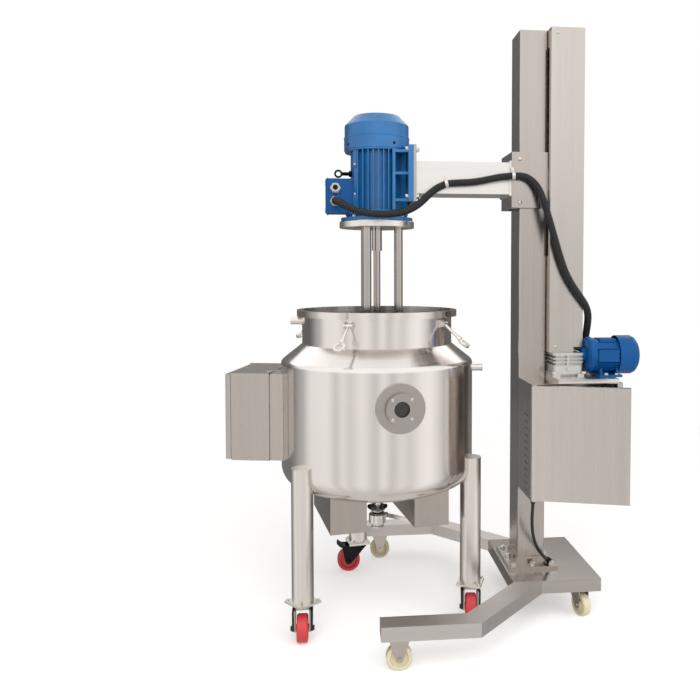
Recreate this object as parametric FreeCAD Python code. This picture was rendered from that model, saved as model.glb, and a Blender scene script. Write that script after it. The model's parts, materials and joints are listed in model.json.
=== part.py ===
import FreeCAD, Part
import math
import os

os.makedirs("parts", exist_ok=True)

# High shear mixer: a wheeled stand with a lifting arm over a jacketed vessel on casters.
# Lengths are millimetres and angles are degrees. While it is drawn, the mixing axis is x = 0, y = 0
# and the floor is z = 0. At the end everything shifts so that the origin is under the middle of the box.

Vec = FreeCAD.Vector
UP = Vec(0, 0, 1)

# Clearances and seats
running_clearance = 0.05
seat_gap = 0.3
working_gap = 1.0

# Mixing vessel
jacket_radius = 375.0
jacket_wall = 3.5
jacket_space = 30.0
bowl_wall = 4.0
neck_radius = 293.0
neck_bottom = 1053.0
rim_top = 1184.0
rim_thickness = 24.0
rim_overhang = 20.0
cone_slope = 38.6
jacket_shoulder_radius = 24.0
bowl_shoulder_radius = 20.0
knuckle_radius = 78.0
knuckle_height = 585.0
crown_radius = 900.0

# Stub pipes on the vessel
stub_radius = 15.0
stub_wall = 3.0
stub_collar_radius = 18.0
stub_collar_height = 5.0
neck_stub_azimuth = 176.0
neck_stub_drop = 44.0
neck_stub_length = 46.0
jacket_stub_azimuth = 0.0
jacket_stub_height = 950.0
jacket_stub_length = 47.0

# Sight glass
sight_azimuth = -81.0
sight_height = 854.0
sight_flange_radius = 88.0
sight_cover_radius = 57.0
sight_opening_radius = 28.0
sight_tube_wall = 4.0
sight_glass_radius = 42.0
sight_glass_thickness = 12.0
sight_flange_thickness = 14.0
sight_cover_thickness = 14.0

# Vessel legs
leg_azimuths = {"left": -140.0, "right": -20.0, "rear": 100.0}
leg_circle_radius = 375.0
leg_radius = 40.0
leg_wall = 3.0
leg_top = 620.0
leg_plate_size = 95.0
leg_plate_thickness = 8.0

# Vessel casters
vessel_wheel_radius = 50.0
vessel_wheel_width = 40.0
vessel_caster_height = 124.0
vessel_caster_trail = 42.0
vessel_trail_azimuths = {"left": -90.0, "right": -97.0, "rear": 180.0}
caster_axle_radius = 5.0
fork_plate_thickness = 5.0
fork_cover_thickness = 8.0
fork_crown_thickness = 6.0
swivel_race_radius = 28.0
swivel_race_depth = 6.0
kingpin_radius = 6.0
pedal_pivot_forward = 19.0
pedal_pivot_height = 108.0
pedal_pin_radius = 4.0
pedal_reach = 34.0
pedal_rise = 24.0

# Swing bolts for a lid
swing_bolt_azimuths = [-113.0, -38.0, 67.0, 142.0]
swing_pivot_reach = 11.0
swing_pivot_drop = 47.0
swing_pin_radius = 4.0
swing_bolt_length = 110.0
swing_rod_radius = 5.5
swing_sleeve_radius = 9.0
swing_sleeve_length = 14.0
swing_eye_radius = 22.0
swing_eye_hole_radius = 13.0
swing_eye_thickness = 9.0
swing_droop = 39.0
swing_lug_gap = 20.0
swing_lug_thickness = 6.0
swing_slot_width = 14.0

# Outlet under the vessel
outlet_bore_radius = 17.5
outlet_pipe_wall = 2.0
outlet_clamp_height = 395.0
outlet_clamp_radius = 31.0
outlet_clamp_thickness = 16.0
outlet_ferrule_radius = 25.0
outlet_ferrule_thickness = 5.0
valve_body_radius = 34.0
valve_body_top = 378.0
valve_body_bottom = 324.0
valve_bottom = 316.0
valve_ball_radius = 23.0
valve_seat_pocket_depth = 1.0
valve_seat_pocket_gap = 1.5
valve_stem_azimuth = 47.0
valve_stem_radius = 8.0
valve_stem_reach = 52.0
valve_lever_length = 158.0
valve_lever_width = 16.0
valve_lever_thickness = 5.0
valve_knob_radius = 13.0

# Heater boxes
heater_azimuth = 100.0
heater_inner_side = 92.0
heater_width = 135.0
heater_front = -216.0
heater_back = 175.0
heater_bottom = 372.0
heater_wall = 2.0

# Control box on the vessel
control_box_turn = -11.0
control_box_back = 392.0
control_box_front = 540.0
control_box_half_width = 165.0
control_box_bottom = 612.0
control_box_top = 946.0
control_box_wall = 2.5
control_door_thickness = 20.0
control_frame_inset = 1.5
control_seam_width = 4.0
control_seam_depth = 8.0

# Door hinges of both boxes
hinge_pin_radius = 3.0
hinge_pin_length = 10.0
hinge_tab_thickness = 4.0
hinge_edge_inset = 6.0
hinge_face_inset = 6.0
door_gap = 1.5

# Stand base
tube_height = 50.0
tube_width = 80.0
tube_wall = 4.0
base_bottom = 112.0
deck_left = 498.0
deck_right = 841.0
deck_half_width = 230.0
deck_wall = 5.0
outrigger_centre = 510.0
outrigger_end = -21.0
outrigger_bend = 297.0
outrigger_angle = 47.3

# Stand casters
stand_wheel_radius = 44.0
stand_wheel_width = 32.0
stand_fixed_caster_x = 41.0
stand_swivel_caster_x = 772.0
stand_swivel_caster_y = 152.0
stand_swivel_trail = 28.0
stand_swivel_turn = -72.0
stand_fork_thickness = 3.0

# Column
column_left = 553.0
column_right = 663.0
column_half_depth = 70.0
column_wall = 6.0
column_top = 2268.0
column_corner = 8.0
foot_plate_reach = 42.0
foot_plate_side_reach = 52.0
foot_plate_thickness = 12.0
foot_collar_height = 24.0
foot_collar_thickness = 5.0

# Lift screw and its housing
housing_width = 133.0
housing_front = -120.0
housing_back = 60.0
housing_bottom = 1017.0
housing_top = 2268.0
housing_wall = 3.0
housing_slot_front = -95.0
screw_offset = 67.0
screw_y = -30.0
screw_radius = 15.0
screw_journal_radius = 12.0
bearing_plate_drop = 43.0
bearing_plate_thickness = 18.0

# Lift drive
base_plate_thickness = 12.0
base_plate_margin = 20.0
gearbox_width = 118.0
gearbox_front = -150.0
gearbox_back = 22.0
gearbox_foot_thickness = 10.0
gearbox_foot_reach = 12.0
gearbox_sump_height = 32.0
gearbox_flange_thickness = 9.0
gearbox_rib_count = 2
gearbox_rib_thickness = 5.0
gearbox_rib_depth = 13.0
lift_motor_y = -125.0
lift_motor_axis_height = 80.0
lift_motor_radius = 70.0
lift_motor_core_radius = 60.0
lift_motor_end_shield = 34.0
lift_motor_body_length = 96.0
lift_motor_cover_length = 84.0
lift_motor_cover_radius = 75.0
lift_motor_nose_radius = 28.0
lift_motor_nose_length = 13.0
lift_motor_fin_count = 28
lift_motor_foot_spread = 125.0
lift_motor_foot_thickness = 9.0

# Electrical cabinet
cabinet_right = 905.0
cabinet_front = -265.0
cabinet_bottom = 482.0
cabinet_top = 916.0
cabinet_wall = 2.5
cabinet_door_thickness = 20.0
cabinet_door_ajar = 16.0
cabinet_lip = 18.0

# Carriage and arm
carriage_left = 518.0
carriage_half_depth = 90.0
carriage_bottom = 1580.0
carriage_top = 1795.0
carriage_plate = 12.0
guide_pad_height = 50.0
nut_width = 64.0
nut_height = 84.0
nut_bottom = 1648.0
arm_half_width = 80.0
arm_bottom = 1632.0
arm_top = 1755.0
arm_wall = 5.0
arm_collar_thickness = 8.0
arm_collar_reach = 6.0
arm_end_plate_thickness = 11.0
arm_end_plate_half_width = 125.0
arm_end_plate_bottom = 1598.0
arm_end_plate_top = 1812.0
lift_down = 240.0
lift_up = 450.0

# Mixing motor
motor_shaft_height = 132.0
motor_bottom = 1526.0
motor_flange_radius = 140.0
motor_flange_thickness = 14.0
motor_shield_height = 40.0
motor_core_radius = 102.0
motor_fin_radius = 121.0
motor_fin_pitch = 19.5
motor_fin_rows = 7
motor_fin_thickness = 4.0
motor_frame_top = 1801.0
motor_top = 1934.0
motor_cover_radius = 127.0
motor_cover_wall = 2.5
motor_cover_corner = 37.0
motor_cover_step = 49.0
motor_cover_ring = 2.0
motor_foot_spacing = 216.0
motor_foot_hole_spacing = 178.0
motor_foot_width = 44.0
motor_foot_thickness = 20.0
motor_rib_x = 58.0
motor_rib_width = 11.0
motor_rib_reach = 118.0
motor_shaft_bore_radius = 22.0
plate_pad_azimuth = -138.0
plate_pad_width = 20.0
plate_pad_rise = 69.0
plate_pad_height = 96.0
plate_pad_depth = 6.0

# Terminal box
terminal_left = -200.0
terminal_right = -112.0
terminal_half_depth = 60.0
terminal_bottom = 1556.0
terminal_top = 1690.0
terminal_lid_thickness = 10.0
terminal_lid_bevel = 9.0
gland_x = -162.0
gland_heights = [1601.0, 1651.0]
gland_radius = 16.5
gland_length = 28.0
lifting_eye_x = -150.0
lifting_eye_y = -20.0
lifting_eye_radius = 16.0
lifting_eye_gap = 4.0
lifting_eye_shank_radius = 7.0

# Mixing head
disc_radius = 146.0
disc_thickness = 25.0
support_rod_circle = 85.0
support_rod_radius = 17.0
support_rod_azimuths = [0.0, 120.0, 240.0]
head_plate_top = 832.0
head_plate_thickness = 16.0
head_plate_radius = 104.0
stator_outer_radius = 78.0
stator_wall = 14.0
stator_height = 62.0
stator_slot_count = 24
stator_slot_width = 5.0
stator_slot_margin = 10.0
suction_radius = 46.0
suction_lip = 6.0
shear_gap = 0.5
rotor_vane_count = 6
rotor_vane_thickness = 9.0
rotor_hub_radius = 24.0
rotor_disc_thickness = 6.0
shaft_radius = 13.5
sleeve_radius = 20.0
sleeve_bottom = 1414.0
bush_wall = 4.5

# Hoses and cable
hose_diameter = 29.0
cable_diameter = 12.0
clip_wall = 2.0
clip_width = 12.0
arm_clip_x = 260.0
elbow_x = 833.0
elbow_y = -25.0
elbow_mouth = 925.0
elbow_entry = 868.0
motor_hose_route = [
    (-162.0, -88.0, 1601.0),
    (-162.0, -126.0, 1601.0),
    (-150.0, -162.0, 1590.0),
    (-126.0, -189.0, 1572.0),
    (-89.0, -204.0, 1554.0),
    (-42.0, -208.0, 1544.0),
    (6.0, -202.0, 1541.0),
    (52.0, -188.0, 1545.0),
    (94.0, -169.0, 1555.0),
    (131.0, -148.0, 1572.0),
    (163.0, -127.0, 1596.0),
    (191.0, -110.0, 1624.0),
    (222.0, -100.0, 1650.0),
    (260.0, -97.0, 1668.0),
    (302.0, -97.0, 1672.0),
    (348.0, -98.0, 1674.0),
    (396.0, -99.5, 1680.0),
    (441.0, -102.0, 1690.0),
    (483.0, -105.0, 1698.0),
    (520.0, -107.0, 1700.0),
]
hanging_hose_route = [
    (520.0, -107.0, 1700.0),
    (557.0, -109.0, 1702.0),
    (589.0, -112.0, 1686.0),
    (614.0, -119.0, 1657.0),
    (630.0, -128.0, 1618.0),
    (643.0, -135.0, 1571.0),
    (657.0, -139.5, 1522.0),
    (672.0, -142.0, 1470.0),
    (687.0, -143.0, 1418.0),
    (703.0, -143.0, 1368.0),
    (722.0, -143.0, 1320.0),
    (746.0, -143.5, 1278.0),
    (773.0, -143.5, 1240.0),
    (800.0, -138.0, 1204.0),
    (819.0, -116.0, 1168.0),
    (828.0, -86.0, 1130.0),
    (832.0, -57.0, 1088.0),
    (833.0, -36.0, 1042.0),
    (833.0, -26.0, 994.0),
    (833.0, -25.0, 958.0),
    (833.0, -25.0, 925.0),
]
power_cable_route = [
    (575.0, -220.0, 458.0),
    (574.0, -219.0, 430.0),
    (573.0, -215.0, 396.0),
    (576.0, -207.0, 360.0),
    (583.0, -196.0, 325.0),
    (595.0, -181.0, 291.0),
    (611.0, -164.0, 259.0),
    (631.0, -142.0, 232.0),
    (652.0, -117.0, 209.0),
    (671.0, -92.0, 190.0),
]

# Sizes that follow from the ones above
shoulder_tilt = math.radians(cone_slope)
crown_angle = math.degrees(math.asin((jacket_radius - knuckle_radius) / (crown_radius - knuckle_radius)))
crown_height = knuckle_height + (crown_radius - knuckle_radius) * math.cos(math.radians(crown_angle))
base_top = base_bottom + tube_height
bowl_radius = jacket_radius - jacket_space
neck_stub_height = rim_top - neck_stub_drop
swing_pivot_radius = neck_radius + swing_pivot_reach
swing_pivot_height = rim_top - swing_pivot_drop
bearing_plate_height = housing_top - bearing_plate_drop
bearing_plate_top = bearing_plate_height + bearing_plate_thickness
column_x = (column_left + column_right) / 2
housing_left = column_right
housing_right = housing_left + housing_width
screw_x = column_right + screw_offset
base_plate_top = cabinet_top + base_plate_thickness
lift_motor_z = base_plate_top + lift_motor_axis_height
gearbox_left = screw_x - gearbox_width / 2
gearbox_right = screw_x + gearbox_width / 2
lift_motor_start = gearbox_right + lift_motor_nose_length
arm_end_plate_left = motor_shaft_height
arm_left = arm_end_plate_left + arm_end_plate_thickness
disc_top = motor_bottom
disc_bottom = disc_top - disc_thickness
head_bottom = head_plate_top - head_plate_thickness - stator_height
vessel_swivel_height = vessel_caster_height
leg_bottom = vessel_caster_height + leg_plate_thickness


def block(x, y, z):
    """Box between the low and high limit on each axis."""
    return Part.makeBox(x[1] - x[0], y[1] - y[0], z[1] - z[0], Vec(x[0], y[0], z[0]))


def bar(radius, start, end):
    """Round bar between two points."""
    along = end.sub(start)
    return Part.makeCylinder(radius, along.Length, start, along)


def pipe(outer, inner, start, end):
    """Round tube between two points."""
    return bar(outer, start, end).cut(bar(inner, start, end))


def extruded(points, direction):
    """Flat polygon pushed along a vector."""
    return Part.Face(Part.makePolygon(points + [points[0]])).extrude(direction)


def in_plan(points, low, high):
    """Polygon in plan between two heights."""
    return extruded([Vec(x, y, low) for x, y in points], Vec(0, 0, high - low))


def across(points, low, high):
    """Polygon of (x, z) points pushed along y."""
    return extruded([Vec(x, low, z) for x, z in points], Vec(0, high - low, 0))


def turned_profile(points):
    """Solid of revolution about the z axis from (radius, height) points."""
    face = Part.Face(Part.makePolygon([Vec(r, 0, z) for r, z in points + points[:1]]))
    return face.revolve(Vec(0, 0, 0), UP, 360)


def polar(radius, azimuth, height=0.0):
    """Point at a radius and azimuth from the z axis."""
    angle = math.radians(azimuth)
    return Vec(radius * math.cos(angle), radius * math.sin(angle), height)


def rotated(shape, angle, about=Vec(0, 0, 0), axis=UP):
    """Copy of a shape turned about an axis."""
    copy = shape.copy()
    copy.rotate(about, axis, angle)
    return copy


def moved(shape, offset):
    """Copy of a shape shifted by a vector."""
    copy = shape.copy()
    copy.translate(offset)
    return copy


def mirrored(shape):
    """Copy of a shape on the other side of the y = 0 plane."""
    return shape.mirror(Vec(0, 0, 0), Vec(0, 1, 0))


def joined(shapes):
    """One solid from overlapping solids."""
    return shapes[0].multiFuse(shapes[1:]).removeSplitter()


def vertical_edges(shape, radius):
    """Rounds the edges that run straight up."""
    edges = [
        edge for edge in shape.Edges
        if len(edge.Vertexes) == 2 and edge.tangentAt(edge.FirstParameter).cross(UP).Length < 1e-6
    ]
    return shape.makeFillet(radius, edges)


def tangent_point(point, centre, radius, side):
    """Where a line from a point touches a circle, in (x, z)."""
    dx = centre[0] - point[0]
    dz = centre[1] - point[1]
    heading = math.atan2(dz, dx) + side * math.asin(radius / math.hypot(dx, dz))
    reach = math.sqrt(dx * dx + dz * dz - radius * radius)
    return (point[0] + reach * math.cos(heading), point[1] + reach * math.sin(heading))


def fork_side(left, right, eye, radius, low, high):
    """Plate that tapers from a straight top edge to a round eye, between two y limits."""
    points = [left, right, tangent_point(right, eye, radius, 1), tangent_point(left, eye, radius, -1)]
    plate = across(points, low, high)
    disc = bar(radius, Vec(eye[0], low, eye[1]), Vec(eye[0], high, eye[1]))
    return joined([plate, disc])


def hexagon(across_flats, start, direction, length):
    """Hexagon head or nut."""
    side = across_flats / math.sqrt(3)
    corners = [
        Vec(side * math.cos(math.radians(60 * i)), side * math.sin(math.radians(60 * i)), 0)
        for i in range(6)
    ]
    solid = extruded(corners, Vec(0, 0, length))
    solid.Placement = FreeCAD.Placement(start, FreeCAD.Rotation(UP, direction))
    return solid


def vessel_solid(wall_radius, shoulder_radius, inset, top):
    """Filled vessel outline taken in by an inset: neck, cone, shoulder, wall and dished bottom."""
    drop = (1 - math.sin(shoulder_tilt)) / math.cos(shoulder_tilt)
    corner = Vec(neck_radius - inset, 0, neck_bottom - inset * drop)
    shoulder_r = wall_radius - shoulder_radius
    start_r = shoulder_r + shoulder_radius * math.sin(shoulder_tilt)
    start_z = neck_bottom - (start_r - neck_radius) * math.tan(shoulder_tilt)
    shoulder = Vec(shoulder_r, 0, start_z - shoulder_radius * math.cos(shoulder_tilt))
    depth = jacket_radius - wall_radius + inset
    knuckle = Vec(jacket_radius - knuckle_radius, 0, knuckle_height)
    crown = Vec(0, 0, crown_height)

    def at(centre, radius, angle):
        turn = math.radians(angle)
        return Vec(centre.x + radius * math.cos(turn), 0, centre.z + radius * math.sin(turn))

    def arc(centre, radius, first, last):
        middle = at(centre, radius, (first + last) / 2)
        return Part.Arc(at(centre, radius, first), middle, at(centre, radius, last)).toShape()

    def line(first, last):
        return Part.LineSegment(first, last).toShape()

    turn = 90 - cone_slope
    low = crown_angle - 90
    shoulder_r_in = shoulder_radius - inset
    knuckle_in = knuckle_radius - depth
    crown_in = crown_radius - depth
    edges = [
        line(Vec(0, 0, top), Vec(corner.x, 0, top)),
        line(Vec(corner.x, 0, top), corner),
        line(corner, at(shoulder, shoulder_r_in, turn)),
        arc(shoulder, shoulder_r_in, turn, 0),
        line(at(shoulder, shoulder_r_in, 0), at(knuckle, knuckle_in, 0)),
        arc(knuckle, knuckle_in, 0, low),
        arc(crown, crown_in, low, -90),
        line(at(crown, crown_in, -90), Vec(0, 0, top)),
    ]
    return Part.Face(Part.Wire(edges)).revolve(Vec(0, 0, 0), UP, 360)


def crown_z(depth):
    """Height of the vessel bottom at the axis, below a given wall depth."""
    return crown_height - crown_radius + depth


def stub(azimuth, height, inner_reach, length, from_radius):
    """Straight pipe standing out of the vessel with a welding collar at its root, and its bore tool."""
    start = polar(inner_reach, azimuth, height)
    end = polar(from_radius + length, azimuth, height)
    collar = bar(stub_collar_radius, start, polar(from_radius + stub_collar_height, azimuth, height))
    bore = bar(stub_radius - stub_wall, polar(inner_reach - 12, azimuth, height), end)
    return bar(stub_radius, start, end).fuse(collar), bore


def sight_point(radius):
    return polar(radius, sight_azimuth, sight_height)


def make_inner_vessel():
    """Product bowl with neck, notched rim flange, outlet pipe, vent stub and sight tube."""
    outer = vessel_solid(bowl_radius, bowl_shoulder_radius, 0, rim_top)
    inner = vessel_solid(bowl_radius, bowl_shoulder_radius, bowl_wall, rim_top + working_gap)
    rim = bar(neck_radius + rim_overhang, Vec(0, 0, rim_top - rim_thickness), Vec(0, 0, rim_top))
    pipe_top = crown_z(jacket_radius - bowl_radius) + bowl_wall
    outlet = bar(outlet_bore_radius + outlet_pipe_wall, Vec(0, 0, outlet_clamp_height), Vec(0, 0, pipe_top))
    ferrule = bar(
        outlet_ferrule_radius, Vec(0, 0, outlet_clamp_height),
        Vec(0, 0, outlet_clamp_height + outlet_ferrule_thickness),
    )
    vent, vent_bore = stub(
        neck_stub_azimuth, neck_stub_height, neck_radius - bowl_wall - 2, neck_stub_length, neck_radius,
    )
    tube_radius = sight_opening_radius + sight_tube_wall
    sight = bar(tube_radius, sight_point(bowl_radius - 12), sight_point(jacket_radius - 1))
    solid = outer.multiFuse([rim, outlet, ferrule, vent, sight]).cut(inner)
    tools = [
        vent_bore,
        bar(outlet_bore_radius, Vec(0, 0, outlet_clamp_height - 1), Vec(0, 0, pipe_top + bowl_wall)),
        bar(sight_opening_radius, sight_point(bowl_radius - 40), sight_point(jacket_radius + 1)),
    ]
    for azimuth in swing_bolt_azimuths:
        slot = block(
            (swing_pivot_radius - swing_slot_width / 2, neck_radius + rim_overhang + 2),
            (-swing_slot_width / 2, swing_slot_width / 2),
            (rim_top - rim_thickness - 1, rim_top + 1),
        )
        tools.append(rotated(slot, azimuth))
    return solid.cut(Part.makeCompound(tools))


def make_jacket():
    """Outer jacket round the bowl, open where the outlet, sight tube and filling stub pass."""
    outer = vessel_solid(jacket_radius, jacket_shoulder_radius, 0, neck_bottom + working_gap)
    inner = vessel_solid(jacket_radius, jacket_shoulder_radius, jacket_wall, neck_bottom + 2 * working_gap)
    bowl = vessel_solid(bowl_radius, bowl_shoulder_radius, 0, rim_top)
    fill, fill_bore = stub(
        jacket_stub_azimuth, jacket_stub_height, jacket_radius - jacket_wall - 1, jacket_stub_length, jacket_radius
    )
    pipe_hole = outlet_bore_radius + outlet_pipe_wall + seat_gap
    sight_hole = sight_opening_radius + sight_tube_wall + seat_gap
    shell = outer.cut(inner).cut(bowl)
    shell = shell.cut(bar(pipe_hole, Vec(0, 0, crown_z(0) - 5), Vec(0, 0, crown_z(0) + 40)))
    shell = shell.cut(bar(sight_hole, sight_point(jacket_radius - 60), sight_point(jacket_radius + 5)))
    return shell.fuse(fill).cut(fill_bore)


def jacket_tool():
    """Filled jacket grown by the seat gap, used to cope what sits against it."""
    return vessel_solid(jacket_radius, jacket_shoulder_radius, -seat_gap, neck_bottom + working_gap)


def leg_point(name, height=0.0):
    return polar(leg_circle_radius, leg_azimuths[name], height)


def make_legs():
    """Three round legs coped to the jacket, each capped and standing on a square plate."""
    tool = jacket_tool()
    legs = []
    for name in leg_azimuths:
        foot = leg_point(name)
        tube = bar(leg_radius, foot + UP * leg_bottom, foot + UP * leg_top)
        hollow = bar(leg_radius - leg_wall, foot + UP * leg_bottom, foot + UP * (leg_top - leg_wall))
        half = leg_plate_size / 2
        plate = block((-half, half), (-half, half), (vessel_swivel_height, leg_bottom))
        race = bar(
            swivel_race_radius, UP * (vessel_swivel_height - swivel_race_depth),
            UP * vessel_swivel_height,
        )
        pin = bar(
            kingpin_radius, UP * (vessel_swivel_height - 2 * swivel_race_depth),
            UP * vessel_swivel_height,
        )
        base = rotated(joined([plate, race, pin]), leg_azimuths[name])
        legs.append(tube.cut(hollow).cut(tool).fuse(moved(base, foot)).removeSplitter())
    return Part.makeCompound([leg.Solids[0] for leg in legs])


def wheel(radius, width, bore, hub_radius, hub_width):
    """Caster wheel about its own y axis, with a dished web and rounded tread."""
    rim = radius * 0.72
    web = width * 0.3
    shoulder = width * 0.12
    half = width / 2
    points = [
        (bore, -hub_width / 2), (hub_radius, -hub_width / 2), (hub_radius + 2, -web), (rim - 3, -web),
        (rim, -half), (radius - shoulder, -half), (radius, -half + shoulder),
        (radius, half - shoulder), (radius - shoulder, half), (rim, half),
        (rim - 3, web), (hub_radius + 2, web), (hub_radius, hub_width / 2), (bore, hub_width / 2),
    ]
    return rotated(turned_profile(points), 90, axis=Vec(1, 0, 0))


def vessel_fork(with_pedal):
    """Swivelling fork about the z axis, trailing along x, with black side covers and its axle."""
    inner = vessel_wheel_width / 2 + 4
    outer = inner + fork_plate_thickness
    crown_top = vessel_swivel_height - swivel_race_depth - seat_gap
    crown_bottom = crown_top - fork_crown_thickness
    eye = (vessel_caster_trail, vessel_wheel_radius)
    right = pedal_pivot_forward + vessel_caster_trail + 10
    shapes = []
    for side in (-1, 1):
        low, high = sorted((side * inner, side * outer))
        shapes.append(fork_side((-36, crown_top), (right, crown_top), eye, 15, low, high))
        low, high = sorted((side * outer, side * (outer + fork_cover_thickness)))
        shapes.append(fork_side((-26, crown_top - 3), (right - 8, crown_top - 3), eye, 12, low, high))
    shapes.append(block((-36, 36), (-inner - 1, inner + 1), (crown_bottom, crown_top)))
    reach = outer + fork_cover_thickness
    shapes.append(bar(caster_axle_radius, Vec(eye[0], -reach, eye[1]), Vec(eye[0], reach, eye[1])))
    if with_pedal:
        pin_x = vessel_caster_trail + pedal_pivot_forward
        pin_end = Vec(pin_x, inner + 1, pedal_pivot_height)
        shapes.append(bar(pedal_pin_radius, Vec(pin_x, -inner - 1, pedal_pivot_height), pin_end))
    solid = joined(shapes)
    hole = bar(kingpin_radius + running_clearance, UP * (crown_bottom - 1), UP * (crown_top + 1))
    heads = [
        hexagon(16, Vec(eye[0], side * reach, eye[1]), Vec(0, side, 0), 6)
        for side in (-1, 1)
    ]
    return joined([solid.cut(hole)] + heads)


def vessel_caster_place(shape, name):
    """Puts a caster piece under its leg and turns it to the way it trails."""
    return moved(rotated(shape, vessel_trail_azimuths[name]), leg_point(name))


def vessel_wheel_shape():
    solid = wheel(
        vessel_wheel_radius, vessel_wheel_width, caster_axle_radius + running_clearance, 14,
        vessel_wheel_width + 6,
    )
    return moved(solid, Vec(vessel_caster_trail, 0, vessel_wheel_radius))


def make_brake_pedal():
    """Foot pedal on the rear caster: a hub on its pin and a broad curved tread."""
    pin_x = vessel_caster_trail + pedal_pivot_forward
    half = vessel_wheel_width / 2 + 3
    hub = bar(8, Vec(pin_x, -half, pedal_pivot_height), Vec(pin_x, half, pedal_pivot_height))
    tip = (pin_x + pedal_reach, pedal_pivot_height + pedal_rise)
    mid = (pin_x + pedal_reach * 0.55, pedal_pivot_height + pedal_rise * 0.3)
    tread = across(
        [
            (pin_x, pedal_pivot_height - 6), (mid[0], mid[1] - 4), (tip[0], tip[1] - 6),
            (tip[0] - 3, tip[1]), (mid[0] - 3, mid[1] + 6), (pin_x, pedal_pivot_height + 7),
        ],
        -half, half,
    )
    bore = bar(
        pedal_pin_radius + running_clearance, Vec(pin_x, -half - 1, pedal_pivot_height),
        Vec(pin_x, half + 1, pedal_pivot_height),
    )
    return joined([hub, tread]).cut(bore)


def make_sight_flange():
    """Weld flange coped to the jacket and the bolted cover ring in front of the glass."""
    face = jacket_radius + sight_flange_thickness
    base = bar(sight_flange_radius, sight_point(jacket_radius - 20), sight_point(face))
    front = face + sight_cover_thickness
    cover = bar(sight_cover_radius, sight_point(face), sight_point(front))
    pocket_back = face - sight_glass_thickness / 2 - seat_gap
    pocket_front = face + sight_glass_thickness / 2 + seat_gap
    pocket = bar(sight_glass_radius + seat_gap, sight_point(pocket_back), sight_point(pocket_front))
    bore = bar(sight_opening_radius, sight_point(jacket_radius - 40), sight_point(front + 1))
    tube = bar(
        sight_opening_radius + sight_tube_wall + seat_gap, sight_point(jacket_radius - 40),
        sight_point(jacket_radius),
    )
    flange = base.cut(jacket_tool()).cut(tube)
    return flange.fuse(cover).cut(pocket).cut(bore).removeSplitter()


def make_sight_glass():
    face = jacket_radius + sight_flange_thickness
    half = sight_glass_thickness / 2
    return bar(sight_glass_radius, sight_point(face - half), sight_point(face + half))


def make_swing_lugs():
    """Pairs of ears welded to the neck under the rim, each with its pin."""
    lugs = []
    eye = (swing_pivot_radius, swing_pivot_height)
    for azimuth in swing_bolt_azimuths:
        shapes = []
        for side in (-1, 1):
            low, high = sorted((side * swing_lug_gap / 2, side * (swing_lug_gap / 2 + swing_lug_thickness)))
            root = neck_radius - 1
            face = eye[0] + 2
            ear = across(
                [(root, eye[1] - 15), (face, eye[1] - 9), (face, eye[1] + 9), (root, eye[1] + 15)], low, high,
            )
            tip = bar(9, Vec(eye[0] + 1, low, eye[1]), Vec(eye[0] + 1, high, eye[1]))
            shapes.extend([ear, tip])
        reach = swing_lug_gap / 2 + swing_lug_thickness + 2
        shapes.append(bar(swing_pin_radius, Vec(eye[0], -reach, eye[1]), Vec(eye[0], reach, eye[1])))
        lugs.append(rotated(joined(shapes), azimuth))
    neck = bar(neck_radius, Vec(0, 0, neck_bottom), Vec(0, 0, rim_top - rim_thickness - working_gap))
    return Part.makeCompound([lug.cut(neck).Solids[0] for lug in lugs])


def make_swing_bolt(azimuth):
    """Eye bolt on the lug pin with a sleeve and an eye nut, drooping outwards."""
    half = swing_lug_gap / 2 - working_gap
    root = bar(9, Vec(0, -half, 0), Vec(0, half, 0))
    shank_end = swing_bolt_length - (swing_eye_radius + swing_eye_hole_radius) / 2
    shank = bar(swing_rod_radius, Vec(0, 0, 0), Vec(shank_end, 0, 0))
    sleeve_end = swing_bolt_length - swing_eye_radius + 3
    sleeve = bar(swing_sleeve_radius, Vec(sleeve_end - swing_sleeve_length, 0, 0), Vec(sleeve_end, 0, 0))
    centre = Vec(swing_bolt_length, 0, 0)
    lift = Vec(0, 0, swing_eye_thickness / 2)
    eye = bar(swing_eye_radius, centre - lift, centre + lift)
    hole = bar(swing_eye_hole_radius, centre - lift * 3, centre + lift * 3)
    pin = bar(swing_pin_radius + running_clearance, Vec(0, -half - 1, 0), Vec(0, half + 1, 0))
    solid = joined([root, shank, sleeve, eye]).cut(hole).cut(pin)
    solid = rotated(solid, swing_droop, axis=Vec(0, 1, 0))
    solid = moved(solid, Vec(swing_pivot_radius, 0, swing_pivot_height))
    return rotated(solid, azimuth)


def make_outlet_clamp():
    """Hinged clamp round the two ferrules, with its wing nut."""
    half = outlet_clamp_thickness / 2
    low = outlet_clamp_height - half
    high = outlet_clamp_height + half
    clamp = bar(outlet_clamp_radius, Vec(0, 0, low), Vec(0, 0, high))
    throat = bar(outlet_bore_radius + outlet_pipe_wall + seat_gap, Vec(0, 0, low - 1), Vec(0, 0, high + 1))
    groove_half = outlet_ferrule_thickness + seat_gap
    groove = bar(
        outlet_ferrule_radius + seat_gap, Vec(0, 0, outlet_clamp_height - groove_half),
        Vec(0, 0, outlet_clamp_height + groove_half),
    )
    ears = block((-outlet_clamp_radius - 14, -outlet_clamp_radius + 4), (-7, 7), (low + 1, high - 1))
    bolt_x = -outlet_clamp_radius - 8
    bolt = bar(3, Vec(bolt_x, -26, outlet_clamp_height), Vec(bolt_x, 16, outlet_clamp_height))
    wing = across([(bolt_x - 14, outlet_clamp_height + 5), (bolt_x - 5, outlet_clamp_height - 4),
                   (bolt_x + 5, outlet_clamp_height - 4), (bolt_x + 14, outlet_clamp_height + 5)], -20, -12)
    solid = joined([clamp, ears, bolt, wing]).cut(throat).cut(groove)
    return rotated(solid, valve_stem_azimuth + 43)


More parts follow.
